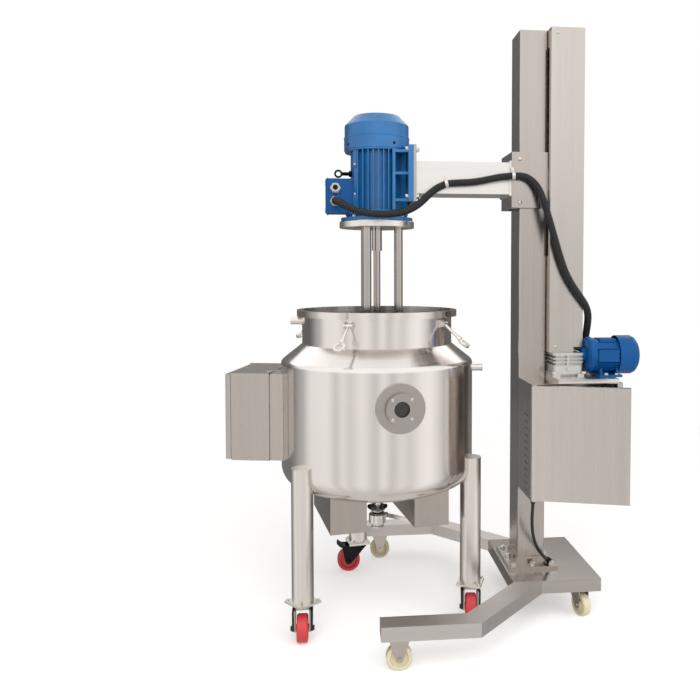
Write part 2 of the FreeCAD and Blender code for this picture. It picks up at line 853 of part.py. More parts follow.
def make_outlet_valve():
    """Ball valve body with its top ferrule, stem neck and drain spout."""
    low_ferrule = outlet_clamp_height - outlet_ferrule_thickness
    neck = outlet_bore_radius + outlet_pipe_wall
    body = turned_profile([
        (0, valve_bottom), (outlet_ferrule_radius, valve_bottom), (
            outlet_ferrule_radius, valve_bottom + outlet_ferrule_thickness,
        ),
        (neck, valve_bottom + outlet_ferrule_thickness + 2), (neck, valve_body_bottom + 2), (
            valve_body_radius - 6, valve_body_bottom + 4,
        ),
        (valve_body_radius, valve_body_bottom + 11), (valve_body_radius, valve_body_top - 11), (
            valve_body_radius - 6, valve_body_top - 4,
        ),
        (neck, valve_body_top), (neck, low_ferrule), (outlet_ferrule_radius, low_ferrule), (
            outlet_ferrule_radius, outlet_clamp_height,
        ),
        (0, outlet_clamp_height),
    ])
    middle = (valve_body_top + valve_body_bottom) / 2
    gland = bar(
        14, polar(20, valve_stem_azimuth, middle),
        polar(valve_body_radius + 8, valve_stem_azimuth, middle),
    )
    solid = joined([body, gland])
    bore = bar(outlet_bore_radius, Vec(0, 0, valve_bottom - 1), Vec(0, 0, outlet_clamp_height + 1))
    cavity = Part.makeSphere(valve_ball_radius + seat_gap, Vec(0, 0, middle))
    pocket_bottom = middle - valve_ball_radius - valve_seat_pocket_gap
    pocket = bar(outlet_bore_radius + valve_seat_pocket_depth, Vec(0, 0, pocket_bottom), Vec(0, 0, middle))
    stem = bar(
        valve_stem_radius + running_clearance, Vec(0, 0, middle), polar(80, valve_stem_azimuth, middle),
    )
    return solid.cut(bore).cut(cavity).cut(pocket).cut(stem)


def make_valve_lever():
    """Bored ball, stem, flat lever and knob in one turning piece."""
    middle = (valve_body_top + valve_body_bottom) / 2
    reach = valve_stem_reach
    ball = Part.makeSphere(valve_ball_radius)
    ball = ball.cut(
        bar(outlet_bore_radius, Vec(0, -2 * valve_ball_radius, 0), Vec(0, 2 * valve_ball_radius, 0)),
    )
    stem = bar(valve_stem_radius, Vec(outlet_bore_radius + 1, 0, 0), Vec(reach, 0, 0))
    half = valve_lever_width / 2
    arm = block((reach - valve_lever_thickness, reach), (-valve_lever_length, half), (-half, half))
    knob = bar(
        valve_knob_radius, Vec(reach - 14, -valve_lever_length, 0),
        Vec(reach + 9, -valve_lever_length, 0),
    )
    knob = knob.makeFillet(6, [e for e in knob.Edges if e.Closed])
    nut = hexagon(17, Vec(reach, 0, 0), Vec(1, 0, 0), 8)
    solid = joined([ball, stem, arm, knob, nut])
    return moved(rotated(solid, valve_stem_azimuth), Vec(0, 0, middle))


def make_heater_boxes():
    """Two sheet boxes under the vessel, coped to the dished bottom."""
    tool = jacket_tool()
    boxes = []
    for side in (-1, 1):
        low, high = sorted((side * heater_inner_side, side * (heater_inner_side + heater_width)))
        outer = block((low, high), (heater_front, heater_back), (heater_bottom, knuckle_height))
        inner = block(
            (low + heater_wall, high - heater_wall),
            (heater_front + heater_wall, heater_back - heater_wall),
            (heater_bottom + heater_wall, knuckle_height + 1),
        )
        shell = rotated(outer.cut(inner), heater_azimuth - 90).cut(tool)
        lowest = min(shell.Solids, key=lambda solid: solid.BoundBox.ZMin)
        boxes.append(lowest)
    return Part.makeCompound(boxes)


def make_control_box():
    """Sheet box on a stand-off frame against the jacket, with hinge tabs for its door."""
    half = control_box_half_width
    low, high = control_box_bottom, control_box_top
    wall = control_box_wall
    shell = block((-control_box_front, -control_box_back), (-half, half), (low, high))
    room = block(
        (-control_box_front - 1, -control_box_back - wall), (-half + wall, half - wall),
        (low + wall, high - wall),
    )
    inset = control_frame_inset
    seam = control_seam_depth
    frame_start = -control_box_back + control_seam_width
    frame = block(
        (frame_start, -jacket_radius + 60), (-half + inset, half - inset), (low + inset, high - inset),
    )
    neck = block(
        (-control_box_back - wall, frame_start + wall), (-half + seam, half - seam),
        (low + seam, high - seam),
    )
    reach = seam + wall
    frame_room = block(
        (-control_box_back - 1, 0), (-half + reach, half - reach), (low + reach, high - reach),
    )
    hollow = block(
        (frame_start + wall, 0), (-half + inset + wall, half - inset - wall),
        (low + inset + wall, high - inset - wall),
    )
    bracket = block(
        (-control_box_back - 28, -jacket_radius + 40), (-half * 0.62, -half * 0.62 + 30),
        (high - 1, high + 4),
    )
    frame = frame.fuse(neck).cut(frame_room).cut(hollow).cut(rotated(jacket_tool(), -control_box_turn))
    shapes = [shell.cut(room), frame]
    shapes.append(bracket.cut(rotated(jacket_tool(), -control_box_turn)))
    pin = control_hinge_local()
    for height, step in ((low, 1), (high - hinge_tab_thickness, -1)):
        tab = block(
            (pin.x - hinge_face_inset, -control_box_front + 12), (pin.y - 10, half), (
                height, height + hinge_tab_thickness,
            )
        )
        inner = height + hinge_tab_thickness if step > 0 else height
        end = inner + step * hinge_pin_length
        shapes.extend([tab, bar(hinge_pin_radius, Vec(pin.x, pin.y, inner), Vec(pin.x, pin.y, end))])
    return rotated(joined(shapes), control_box_turn)


def hinged_door(width, thickness, low, high, wall):
    """Folded tray door along x with its hinge axis at the origin, closing towards +y."""
    left = -hinge_edge_inset
    front = -hinge_face_inset
    tray = block((left, left + width), (front, front + thickness), (low, high))
    room = block(
        (left + wall, left + width - wall), (front + wall, front + thickness + 1),
        (low + wall, high - wall),
    )
    solid = tray.cut(room)
    knuckle = 2 * hinge_edge_inset
    depth = hinge_pin_length + 2
    bore = hinge_pin_radius + running_clearance
    for bottom in (low, high - depth):
        knuckle_block = block(
            (left + 1, left + knuckle), (front + 1, front + knuckle), (bottom, bottom + depth),
        )
        solid = solid.fuse(knuckle_block)
    for bottom in (low - 1, high - depth + 1):
        solid = solid.cut(bar(bore, Vec(0, 0, bottom), Vec(0, 0, bottom + depth)))
    return solid.removeSplitter()


def door_pin_depth(thickness):
    """Distance from a door's pin to the box face it closes on."""
    return thickness - hinge_face_inset + door_gap


def make_control_box_door():
    gap = hinge_tab_thickness + seat_gap
    width = 2 * control_box_half_width
    door = hinged_door(
        width, control_door_thickness, control_box_bottom + gap, control_box_top - gap, control_box_wall,
    )
    return rotated(moved(rotated(door, -90), control_hinge_local()), control_box_turn)


def control_hinge_local():
    """Hinge axis of the control box door before the box is turned round the vessel."""
    return Vec(
        -control_box_front - door_pin_depth(control_door_thickness),
        control_box_half_width - hinge_edge_inset, 0,
    )


def outrigger_outline(inset):
    """Plan outline of one mitred tube with a straight run and a diagonal to the deck."""
    half = tube_width / 2 - inset
    turn = math.radians(outrigger_angle)
    shift = half * math.tan(turn / 2)
    slope = math.tan(turn)
    inner = (outrigger_bend - shift, -outrigger_centre + half)
    outer = (outrigger_bend + shift, -outrigger_centre - half)
    rise_inner = -deck_half_width - inner[1]
    rise_outer = -deck_half_width - outer[1]
    return [
        (outrigger_end + inset, inner[1]), inner, (inner[0] + rise_inner / slope, -deck_half_width),
        (outer[0] + rise_outer / slope, -deck_half_width), outer, (outrigger_end + inset, outer[1]),
    ]


def make_outriggers():
    tube = in_plan(outrigger_outline(0), base_bottom, base_top)
    room = in_plan(outrigger_outline(tube_wall), base_bottom + tube_wall, base_top - tube_wall)
    near = tube.cut(room)
    return Part.makeCompound([near, mirrored(near)])


def make_base_deck():
    """Folded deck with a tray underside, cross ribs under the column and swivel caster pads."""
    half = deck_half_width
    tray = block((deck_left, deck_right), (-half, half), (base_bottom, base_top))
    room = block(
        (deck_left + deck_wall, deck_right - deck_wall), (-half + deck_wall, half - deck_wall),
        (base_bottom - 1, base_top - deck_wall),
    )
    shapes = [tray.cut(room)]
    for x in (column_left + 4, column_right - 12):
        shapes.append(block((x, x + 8), (-half + 1, half - 1), (base_bottom, base_top - 1)))
    pad_half = 52
    pad = (stand_swivel_caster_x - pad_half, min(stand_swivel_caster_x + pad_half, deck_right - 1))
    shapes.append(block(pad, (-half + 1, half - 1), (base_bottom, base_bottom + 8)))
    for side in (-1, 1):
        centre = Vec(stand_swivel_caster_x, side * stand_swivel_caster_y, 0)
        shapes.append(bar(24, centre + UP * (base_bottom - 5), centre + UP * (base_bottom + 1)))
        shapes.append(bar(kingpin_radius, centre + UP * (base_bottom - 10), centre + UP * base_bottom))
    return joined(shapes)


def make_fixed_caster_forks():
    """Pressed brackets for the two wheels that don't swivel, with their axles."""
    inner = stand_wheel_width / 2 + 4
    outer = inner + stand_fork_thickness
    top = base_bottom
    shapes = []
    for side in (-1, 1):
        low, high = sorted((side * inner, side * outer))
        shapes.append(fork_side((-36, top), (36, top), (0, stand_wheel_radius), 13, low, high))
    shapes.append(block((-40, 40), (-outer, outer), (top - 4, top)))
    reach = outer + 1
    shapes.append(
        bar(caster_axle_radius, Vec(0, -reach, stand_wheel_radius), Vec(0, reach, stand_wheel_radius)),
    )
    for side in (-1, 1):
        shapes.append(hexagon(13, Vec(0, side * outer, stand_wheel_radius), Vec(0, side, 0), 6))
    fork = joined(shapes)
    near = moved(fork, Vec(stand_fixed_caster_x, -outrigger_centre, 0))
    far = moved(fork, Vec(stand_fixed_caster_x, outrigger_centre, 0))
    return Part.makeCompound([near, far])


def stand_wheel():
    return moved(
        wheel(
            stand_wheel_radius, stand_wheel_width, caster_axle_radius + running_clearance, 11,
            stand_wheel_width + 6,
        ),
        Vec(0, 0, stand_wheel_radius),
    )


def stand_swivel_fork():
    """Pressed swivel fork about the z axis, trailing along x."""
    inner = stand_wheel_width / 2 + 4
    outer = inner + stand_fork_thickness
    top = base_bottom - 5 - seat_gap
    eye = (stand_swivel_trail, stand_wheel_radius)
    shapes = []
    for side in (-1, 1):
        low, high = sorted((side * inner, side * outer))
        shapes.append(fork_side((-26, top), (46, top), eye, 13, low, high))
    shapes.append(block((-30, 46), (-outer, outer), (top - 4, top)))
    shapes.append(bar(caster_axle_radius, Vec(eye[0], -outer - 1, eye[1]), Vec(eye[0], outer + 1, eye[1])))
    for side in (-1, 1):
        shapes.append(hexagon(13, Vec(eye[0], side * outer, eye[1]), Vec(0, side, 0), 6))
    hole = bar(kingpin_radius + running_clearance, UP * (top - 8), UP * (top + 1))
    return joined(shapes).cut(hole)


def stand_swivel_place(shape, side):
    return moved(
        rotated(shape, stand_swivel_turn), Vec(stand_swivel_caster_x, side * stand_swivel_caster_y, 0),
    )


def make_column():
    """Rectangular tube with a cap, a welded foot plate and a collar, bored for its bolts."""
    half = column_half_depth
    wall = column_wall
    tube = vertical_edges(
        block((column_left, column_right), (-half, half), (base_top, column_top)), column_corner,
    )
    room = block(
        (column_left + wall, column_right - wall), (-half + wall, half - wall),
        (base_top - 1, column_top - wall),
    )
    plate = block(
        (column_left - foot_plate_reach, column_right + foot_plate_reach),
        (-half - foot_plate_side_reach, half + foot_plate_side_reach),
        (base_top, base_top + foot_plate_thickness),
    )
    edge = foot_collar_thickness
    collar = block(
        (column_left - edge, column_right + edge), (-half - edge, half + edge),
        (base_top + foot_plate_thickness - 1, base_top + foot_plate_thickness + foot_collar_height),
    )
    solid = joined([plate, collar, tube]).cut(room)
    holes = []
    for x in (column_left - foot_plate_reach / 2, column_x, column_right + foot_plate_reach / 2):
        for y in (-half - foot_plate_side_reach / 2, 0, half + foot_plate_side_reach / 2):
            if x != column_x or y != 0:
                holes.append(
                    bar(6.5, Vec(x, y, base_top - 1), Vec(x, y, base_top + foot_plate_thickness + 1)),
                )
    return solid.cut(Part.makeCompound(holes))


def make_screw_housing():
    """Folded cover round the lift screw, slotted for the nut arm and notched for the drive coupling."""
    wall = housing_wall
    shell = block(
        (housing_left, housing_right), (housing_front, housing_back), (housing_bottom, housing_top),
    )
    room = block(
        (housing_left + wall, housing_right - wall), (housing_front + wall, housing_back - wall),
        (housing_bottom - 1, housing_top - wall),
    )
    slot = block(
        (housing_left - 1, housing_left + wall + 1), (housing_slot_front, -column_half_depth),
        (nut_bottom - lift_down - 15, nut_bottom + nut_height + lift_up + 15),
    )
    coupling = bar(
        lift_motor_nose_radius + 3, Vec(screw_x + 30, lift_motor_y, lift_motor_z), Vec(
            housing_right + 5, lift_motor_y, lift_motor_z,
        )
    )
    bearing = block(
        (housing_left + wall - 1, housing_right - wall + 1), (
            housing_front + wall - 1, housing_back - wall + 1,
        ),
        (bearing_plate_height, bearing_plate_top),
    )
    bore = bar(
        screw_journal_radius + running_clearance,
        Vec(screw_x, screw_y, bearing_plate_height - 1), Vec(screw_x, screw_y, bearing_plate_top + 1),
    )
    return joined([shell.cut(room), bearing]).cut(slot).cut(coupling).cut(bore)


def make_lift_screw():
    """Lead screw with a journal at each end."""
    low = Vec(screw_x, screw_y, housing_bottom - 26)
    step = Vec(screw_x, screw_y, housing_bottom + 6)
    shoulder = Vec(screw_x, screw_y, bearing_plate_height - working_gap)
    top = Vec(screw_x, screw_y, bearing_plate_top + 6)
    return joined([bar(screw_journal_radius, low, top), bar(screw_radius, step, shoulder)])


def make_gearbox():
    """Worm gearbox with a rounded sump, a ribbed front and a top flange, bored for the screw."""
    low = base_plate_top
    top = housing_bottom
    left, right = gearbox_left, gearbox_right
    front, back = gearbox_front, gearbox_back
    depth = gearbox_rib_depth
    reach = gearbox_foot_reach
    foot_top = low + gearbox_foot_thickness
    sump_bottom = foot_top - 2
    sump_top = foot_top + gearbox_sump_height
    flange_bottom = top - gearbox_flange_thickness
    foot = block((left - reach / 2, right), (front - reach, back + reach), (low, foot_top))
    foot = foot.cut(
        block((left + 24, right - 24), (front - reach - 1, front + 14), (low - 1, foot_top + 1)),
    )
    core = block((left + depth, right), (front + depth, back - depth), (low + 1, top))
    sump = vertical_edges(block((left, right), (front, back), (sump_bottom, sump_top)), 11)
    flange = block((left, right), (front, back), (flange_bottom, top))
    post = block((screw_x - 4, screw_x + 4), (front + 1, back - 1), (sump_top - 1, flange_bottom + 1))
    shapes = [foot, core, sump, flange, post]
    pitch = (flange_bottom - sump_top) / (gearbox_rib_count + 1)
    half = gearbox_rib_thickness / 2
    for index in range(1, gearbox_rib_count + 1):
        height = sump_top + index * pitch
        shapes.append(block((left + 1, right), (front + 2, back - 2), (height - half, height + half)))
    plug = hexagon(14, Vec(screw_x, front + 1, sump_top - 14), Vec(0, -1, 0), 7)
    bore = bar(
        screw_journal_radius + running_clearance, Vec(screw_x, screw_y, top - 27),
        Vec(screw_x, screw_y, top + 1),
    )
    return joined(shapes + [plug]).cut(bore)


def finned_barrel(core, tip, length, count, thickness, skip):
    """Cylinder along z with straight cooling fins, leaving out the azimuths that skip names."""
    shapes = [bar(core, Vec(0, 0, 0), Vec(0, 0, length))]
    for index in range(count):
        azimuth = 360.0 * index / count
        if skip(azimuth):
            continue
        fin = block((core - 2, tip), (-thickness / 2, thickness / 2), (0, length))
        shapes.append(rotated(fin, azimuth))
    return shapes


def make_lift_motor():
    """Finned foot motor on its side, with its drive end shield and nose."""
    radius = lift_motor_radius
    length = lift_motor_body_length
    shapes = finned_barrel(
        lift_motor_core_radius, radius - 1, length, lift_motor_fin_count, 3.0, lambda a: 120 < a < 240,
    )
    shapes = [rotated(shape, 90, axis=Vec(0, 1, 0)) for shape in shapes]
    shapes = [moved(shape, Vec(lift_motor_end_shield - 1, 0, 0)) for shape in shapes]
    shield = turned_profile([
        (0, 0), (radius - 14, 0), (radius - 2, 7), (radius, 12), (radius, 22), (radius - 4, 24), (
            radius - 4, lift_motor_end_shield,
        ),
        (0, lift_motor_end_shield),
    ])
    nose = bar(lift_motor_nose_radius, Vec(0, 0, -lift_motor_nose_length), Vec(0, 0, 1))
    shapes.append(rotated(shield, 90, axis=Vec(0, 1, 0)))
    shapes.append(rotated(nose, 90, axis=Vec(0, 1, 0)))
    drop = -lift_motor_axis_height
    spread = lift_motor_foot_spread / 2
    start = lift_motor_end_shield + 4
    end = start + length - 8
    shapes.append(
        block((start, end), (-spread - 12, spread + 12), (drop, drop + lift_motor_foot_thickness)),
    )
    for x in (start + 8, end - 16):
        rib = extruded(
            [Vec(x, -spread, drop + 4), Vec(x, spread, drop + 4), Vec(x, 40, -36), Vec(x, -40, -36)], Vec(
                8, 0, 0,
            )
        )
        shapes.append(rib)
    pad = (lift_motor_core_radius - 8, lift_motor_core_radius + 4)
    shapes.append(block((start + 12, end - 12), (-34, 34), pad))
    panel_end = start + length - 18
    panel_depth = (-radius + 1, -lift_motor_core_radius + 6)
    shapes.append(block((lift_motor_end_shield + 2, panel_end), panel_depth, (-22, 26)))
    solid = joined(shapes)
    return moved(solid, Vec(lift_motor_start, lift_motor_y, lift_motor_z))


def make_lift_motor_cover():
    """Pressed fan cover over the back of the lift motor, with a slotted end."""
    radius = lift_motor_cover_radius
    length = lift_motor_cover_length
    wall = motor_cover_wall
    solid = turned_profile([
        (radius - wall, 0), (radius, 0), (radius, length - 26), (radius - 6, length - 13), (
            radius - 18, length - 4,
        ),
        (radius - 34, length), (0, length), (0, length - wall), (radius - 35, length - wall),
        (radius - 19, length - 7), (radius - 8, length - 15), (radius - wall, length - 27),
    ])
    slots = []
    for index in range(16):
        slot = block((14, radius - 38), (-2.5, 2.5), (length - wall - 2, length + 2))
        slots.append(rotated(slot, 22.5 * index))
    solid = solid.cut(Part.makeCompound(slots))
    solid = rotated(solid, 90, axis=Vec(0, 1, 0))
    start = lift_motor_start + lift_motor_end_shield + lift_motor_body_length - 9
    return moved(solid, Vec(start, lift_motor_y, lift_motor_z))


def make_motor_base_plate():
    """Plate on the cabinet roof that carries the gearbox and the lift motor, clear of the conduit elbow."""
    front = cabinet_front + base_plate_margin
    behind_gearbox = gearbox_back + base_plate_margin
    return in_plan(
        [
            (column_right, front), (cabinet_right - 5, front), (cabinet_right - 5, -column_half_depth),
            (gearbox_right + 5, -column_half_depth), (gearbox_right + 5, behind_gearbox), (
                column_right, behind_gearbox,
            ),
        ],
        cabinet_top, base_plate_top,
    )


def make_cabinet():
    """Cabinet body open at the front, with its hinge pins and inner mounting plate."""
    left, right = column_left, cabinet_right
    front, back = cabinet_front, -column_half_depth
    low, high = cabinet_bottom, cabinet_top
    wall = cabinet_wall
    shell = block((left, right), (front, back), (low, high))
    room = block((left + wall, right - wall), (front - 1, back - wall), (low + wall, high - wall))
    lip_left = block(
        (right - wall - cabinet_lip, right - wall + 1), (front, front + wall),
        (low + wall - 1, high - wall + 1),
    )
    plate = block((left + 30, right - 30), (back - 16, back - 13), (low + 40, high - 40))
    shapes = [shell.cut(room), lip_left, plate]
    for x in (left + 45, right - 57):
        for z in (low + 55, high - 67):
            shapes.append(block((x, x + 12), (back - 14, back - wall + 1), (z, z + 12)))
    pin = hinge_point()
    for height, step in ((low, 1), (high - hinge_tab_thickness, -1)):
        tab = block(
            (left, pin.x + 10), (pin.y - hinge_face_inset, front + 10), (
                height, height + hinge_tab_thickness,
            )
        )
        inner = height + hinge_tab_thickness if step > 0 else height
        end = inner + step * hinge_pin_length
        shapes.extend([tab, bar(hinge_pin_radius, Vec(pin.x, pin.y, inner), Vec(pin.x, pin.y, end))])
    hole = bar(cable_diameter / 2 + 1, cable_exit() + UP * 10, cable_exit() + UP * 40)
    return joined(shapes).cut(hole)


def hinge_point():
    """Hinge axis of the cabinet door."""
    return Vec(column_left + hinge_edge_inset, cabinet_front - door_pin_depth(cabinet_door_thickness), 0)


def make_cabinet_door():
    gap = hinge_tab_thickness + seat_gap
    width = cabinet_right - column_left
    door = hinged_door(width, cabinet_door_thickness, cabinet_bottom + gap, cabinet_top - gap, cabinet_wall)
    return moved(rotated(door, -cabinet_door_ajar), hinge_point())


def cable_exit():
    return Vec(*power_cable_route[0])


def make_stand_glands():
    """Cable gland under the cabinet, gland in the deck and the conduit elbow behind the cabinet."""
    exit_point = cable_exit()
    bore = cable_diameter / 2
    body = pipe(9, bore, exit_point, Vec(exit_point.x, exit_point.y, cabinet_bottom))
    nut = hexagon(24, Vec(exit_point.x, exit_point.y, cabinet_bottom - 9), UP, 9)
    cabinet_gland = body.fuse(nut.cut(bar(bore, exit_point, exit_point + UP * 40))).removeSplitter()
    last = Vec(*power_cable_route[-1])
    before = Vec(*power_cable_route[-2])
    heading = last.sub(before).normalize()
    deck_gland = pipe(11, bore, last, last + heading * 60)
    deck_top = base_top + foot_plate_thickness
    deck_gland = deck_gland.fuse(bar(11, last + heading * 8, last + heading * 60))
    deck_gland = deck_gland.common(
        block((last.x - 100, last.x + 100), (last.y - 100, last.y + 100), (deck_top, deck_top + 80)),
    )
    outer = hose_diameter / 2 + 2.5
    mouth = Vec(elbow_x, elbow_y, elbow_mouth)
    corner = Vec(elbow_x, elbow_y, elbow_entry)
    wall_point = Vec(elbow_x, -column_half_depth, elbow_entry)
    drop = bar(outer, corner - UP * outer * 0.2, mouth)
    run = bar(outer, corner + Vec(0, outer * 0.9, 0), wall_point)
    ball = Part.makeSphere(outer * 1.02, corner)
    elbow = joined([drop, run, ball, hexagon(40, mouth - UP * 22, UP, 12)])
    flange = hexagon(44, wall_point, Vec(0, 1, 0), 7)
    return Part.makeCompound([cabinet_gland.Solids[0], deck_gland.Solids[0], joined([elbow, flange])])


def make_carriage():
    """Three-sided sleeve round the column, with the arm that reaches the nut through the housing slot."""
    depth = carriage_half_depth
    plate = carriage_plate
    left = carriage_left
    right = column_right - 2 * working_gap
    outer = block((left, right), (-depth, depth), (carriage_bottom, carriage_top))
    room = block(
        (left + plate, right + 1), (-depth + plate, depth - plate),
        (carriage_bottom - 1, carriage_top + 1),
    )
    tongue = block(
        (right - 1, screw_x + nut_width / 2), (-depth, -depth + plate),
        (nut_bottom, nut_bottom + nut_height),
    )
    return joined([outer.cut(room), tongue])


def make_guide_pads():
    """Slide pads between the carriage and the column, at the top and the bottom of the sleeve."""
    pads = []
    depth = carriage_half_depth - carriage_plate
    face = column_half_depth + seat_gap
    for low in (carriage_bottom + 6, carriage_top - 6 - guide_pad_height):
        limits = (low, low + guide_pad_height)
        pads.append(block((carriage_left + carriage_plate, column_left - seat_gap), (-45, 45), limits))
        for side in (-1, 1):
            span = tuple(sorted((side * face, side * depth)))
            pads.append(block((column_left + 14, column_right - 14), span, limits))
    return Part.makeCompound(pads)


def make_lift_nut():
    """Nut block that rides on the lift screw and bolts to the carriage tongue."""
    half = nut_width / 2
    front = -carriage_half_depth + carriage_plate
    body = block(
        (screw_x - half, screw_x + half), (front, screw_y + 30), (nut_bottom, nut_bottom + nut_height),
    )
    body = vertical_edges(body, 6)
    bore = bar(
        screw_radius + running_clearance, Vec(screw_x, screw_y, nut_bottom - 1),
        Vec(screw_x, screw_y, nut_bottom + nut_height + 1),
    )
    return body.cut(bore)


def make_arm():
    """Rectangular arm from the carriage to the motor plate, with a collar at the carriage."""
    half = arm_half_width
    wall = arm_wall
    tube = block((arm_left, carriage_left), (-half, half), (arm_bottom, arm_top))
    room = block(
        (arm_left - 1, carriage_left + 1), (-half + wall, half - wall),
        (arm_bottom + wall, arm_top - wall),
    )
    reach = arm_collar_reach
    collar = block(
        (carriage_left - arm_collar_thickness, carriage_left), (-half - reach, half + reach),
        (arm_bottom - reach, arm_top + reach),
    )
    return joined([tube, collar]).cut(room)


def foot_hole_points():
    middle = (arm_end_plate_bottom + arm_end_plate_top) / 2
    rise = motor_foot_hole_spacing / 2
    half = motor_foot_spacing / 2
    return [(y, z) for y in (-half, half) for z in (middle - rise, middle + rise)]


def make_arm_end_plate():
    half = arm_end_plate_half_width
    plate = block((arm_end_plate_left, arm_left), (-half, half), (arm_end_plate_bottom, arm_end_plate_top))
    holes = [
        bar(6, Vec(arm_end_plate_left - 1, y, z), Vec(arm_left + 1, y, z))
        for y, z in foot_hole_points()
    ]
    return plate.cut(Part.makeCompound(holes))


def parallel_fins(length):
    """Cooling fins of the mixing motor: a row of parallel blades on its front and one on its back."""
    fins = []
    low = motor_rib_x - motor_fin_pitch * motor_fin_rows
    tip = bar(motor_fin_radius, Vec(0, 0, 0), Vec(0, 0, length))
    half = motor_fin_thickness / 2
    for index in range(motor_fin_rows):
        x = low + index * motor_fin_pitch
        blade = block((x - half, x + half), (-motor_fin_radius, motor_fin_radius), (0, length))
        fins.append(blade.common(tip))
    for azimuth in (-24.0, -12.0, 0.0, 12.0, 24.0):
        blade = block((motor_core_radius - 2, motor_fin_radius), (-half, half), (0, length))
        fins.append(rotated(blade, azimuth))
    return fins


def make_mixer_motor():
    """Finned motor frame with bottom flange, end shield, feet towards the arm and bare plate pad."""
    length = motor_frame_top - motor_bottom - motor_shield_height
    base = motor_bottom + motor_shield_height
    barrel = [bar(motor_core_radius, Vec(0, 0, 0), Vec(0, 0, length))] + parallel_fins(length)
    shapes = [moved(shape, Vec(0, 0, base)) for shape in barrel]
    flange_top = motor_bottom + motor_flange_thickness
    shapes.append(turned_profile([
        (0, motor_bottom), (motor_flange_radius, motor_bottom), (motor_flange_radius, flange_top),
        (motor_fin_radius - 4, flange_top + 3), (motor_fin_radius + 1, flange_top + 12),
        (motor_fin_radius + 1, base), (0, base),
    ]))
    cover_seat = motor_cover_radius - motor_cover_wall - running_clearance
    shapes.append(bar(cover_seat, Vec(0, 0, motor_frame_top - 7), Vec(0, 0, motor_frame_top + 4)))
    face = motor_fin_radius - 2
    pad_half = plate_pad_width / 2
    pad_low = base + plate_pad_rise
    boss = block((motor_core_radius - 2, face), (-pad_half, pad_half), (base, motor_frame_top - 7))
    recess = block(
        (face - plate_pad_depth, face + 1), (-pad_half - 1, pad_half + 1), (
            pad_low, pad_low + plate_pad_height,
        ),
    )
    shapes.append(rotated(boss.cut(recess), plate_pad_azimuth))
    low, high = arm_end_plate_bottom, arm_end_plate_top - 2
    rib = (motor_rib_x - motor_rib_width / 2, motor_rib_x + motor_rib_width / 2)
    plate_face = motor_shaft_height - motor_foot_thickness
    for side in (-1, 1):
        centre = side * motor_foot_spacing / 2
        edge = side * motor_foot_width / 2
        span = tuple(sorted((centre - edge, centre + edge)))
        shapes.append(block((plate_face, motor_shaft_height), span, (low, high)))
        rib_span = tuple(sorted((side * motor_core_radius * 0.7, side * motor_rib_reach)))
        shapes.append(block(rib, rib_span, (base - 1, motor_frame_top - 2)))
        for z in (low, (low + high) / 2 - 5, motor_frame_top - 18):
            web = in_plan(
                [
                    (motor_rib_x, side * motor_rib_reach), (plate_face + 1, side * motor_rib_reach),
                    (plate_face + 1, side * 90), (motor_rib_x, side * 76),
                ],
                z, z + 10,
            )
            shapes.append(web)
    solid = joined(shapes)
    bore = bar(motor_shaft_bore_radius, Vec(0, 0, motor_bottom - 1), Vec(0, 0, motor_bottom + 46))
    holes = [
        bar(6, Vec(plate_face - 1, y, z), Vec(motor_shaft_height + 1, y, z))
        for y, z in foot_hole_points()
    ]
    return solid.cut(bore).cut(Part.makeCompound(holes))


def make_mixer_motor_cover():
    """Fan cover of the mixing motor: broad chamfer, stepped side with a bead, and radial air slots."""
    radius = motor_cover_radius
    wall = motor_cover_wall
    top = motor_top
    low = motor_frame_top
    corner = motor_cover_corner
    step = low + motor_cover_step
    ring = motor_cover_ring
    upper = radius - ring
    solid = turned_profile([
        (radius - wall, low), (radius, low), (radius, step - 5), (radius + 1, step - 4), (
            radius + 1, step - 1,
        ),
        (upper, step + 1), (upper, top - corner - 3), (upper - 1, top - corner), (
            upper - corner + 3, top - 3,
        ),
        (upper - corner, top), (0, top),
        (0, top - wall), (upper - corner - 1, top - wall), (upper - wall - 1, top - corner - 1), (
            upper - wall, step,
        ),
        (radius - wall, step - 3),
    ])
    slots = []
    for index in range(20):
        slot = block((32, radius - corner - 10), (-3.5, 3.5), (top - wall - 2, top + 2))
        slots.append(rotated(slot, 18.0 * index))
    return solid.cut(Part.makeCompound(slots))


def make_terminal_box():
    """Terminal box against the motor barrel, and its bevelled lid."""
    seat = bar(motor_core_radius + seat_gap, Vec(0, 0, terminal_bottom - 1), Vec(0, 0, terminal_top + 1))
    shield_top = motor_bottom + motor_shield_height + seat_gap
    shield = bar(motor_fin_radius + 1 + seat_gap, Vec(0, 0, motor_bottom), Vec(0, 0, shield_top))
    lid_face = terminal_left + terminal_lid_thickness
    half = terminal_half_depth
    body = block(
        (lid_face, terminal_right + 30), (-half + 2, half - 2), (terminal_bottom + 2, terminal_top - 2),
    )
    body = body.cut(seat).cut(shield)
    lid = block((terminal_left, lid_face), (-half, half), (terminal_bottom, terminal_top))
    edges = [e for e in lid.Edges if abs(e.CenterOfMass.x - terminal_left) < 1e-6]
    lid = lid.makeChamfer(terminal_lid_bevel * 0.8, edges)
    return Part.makeCompound([body.Solids[0], lid])


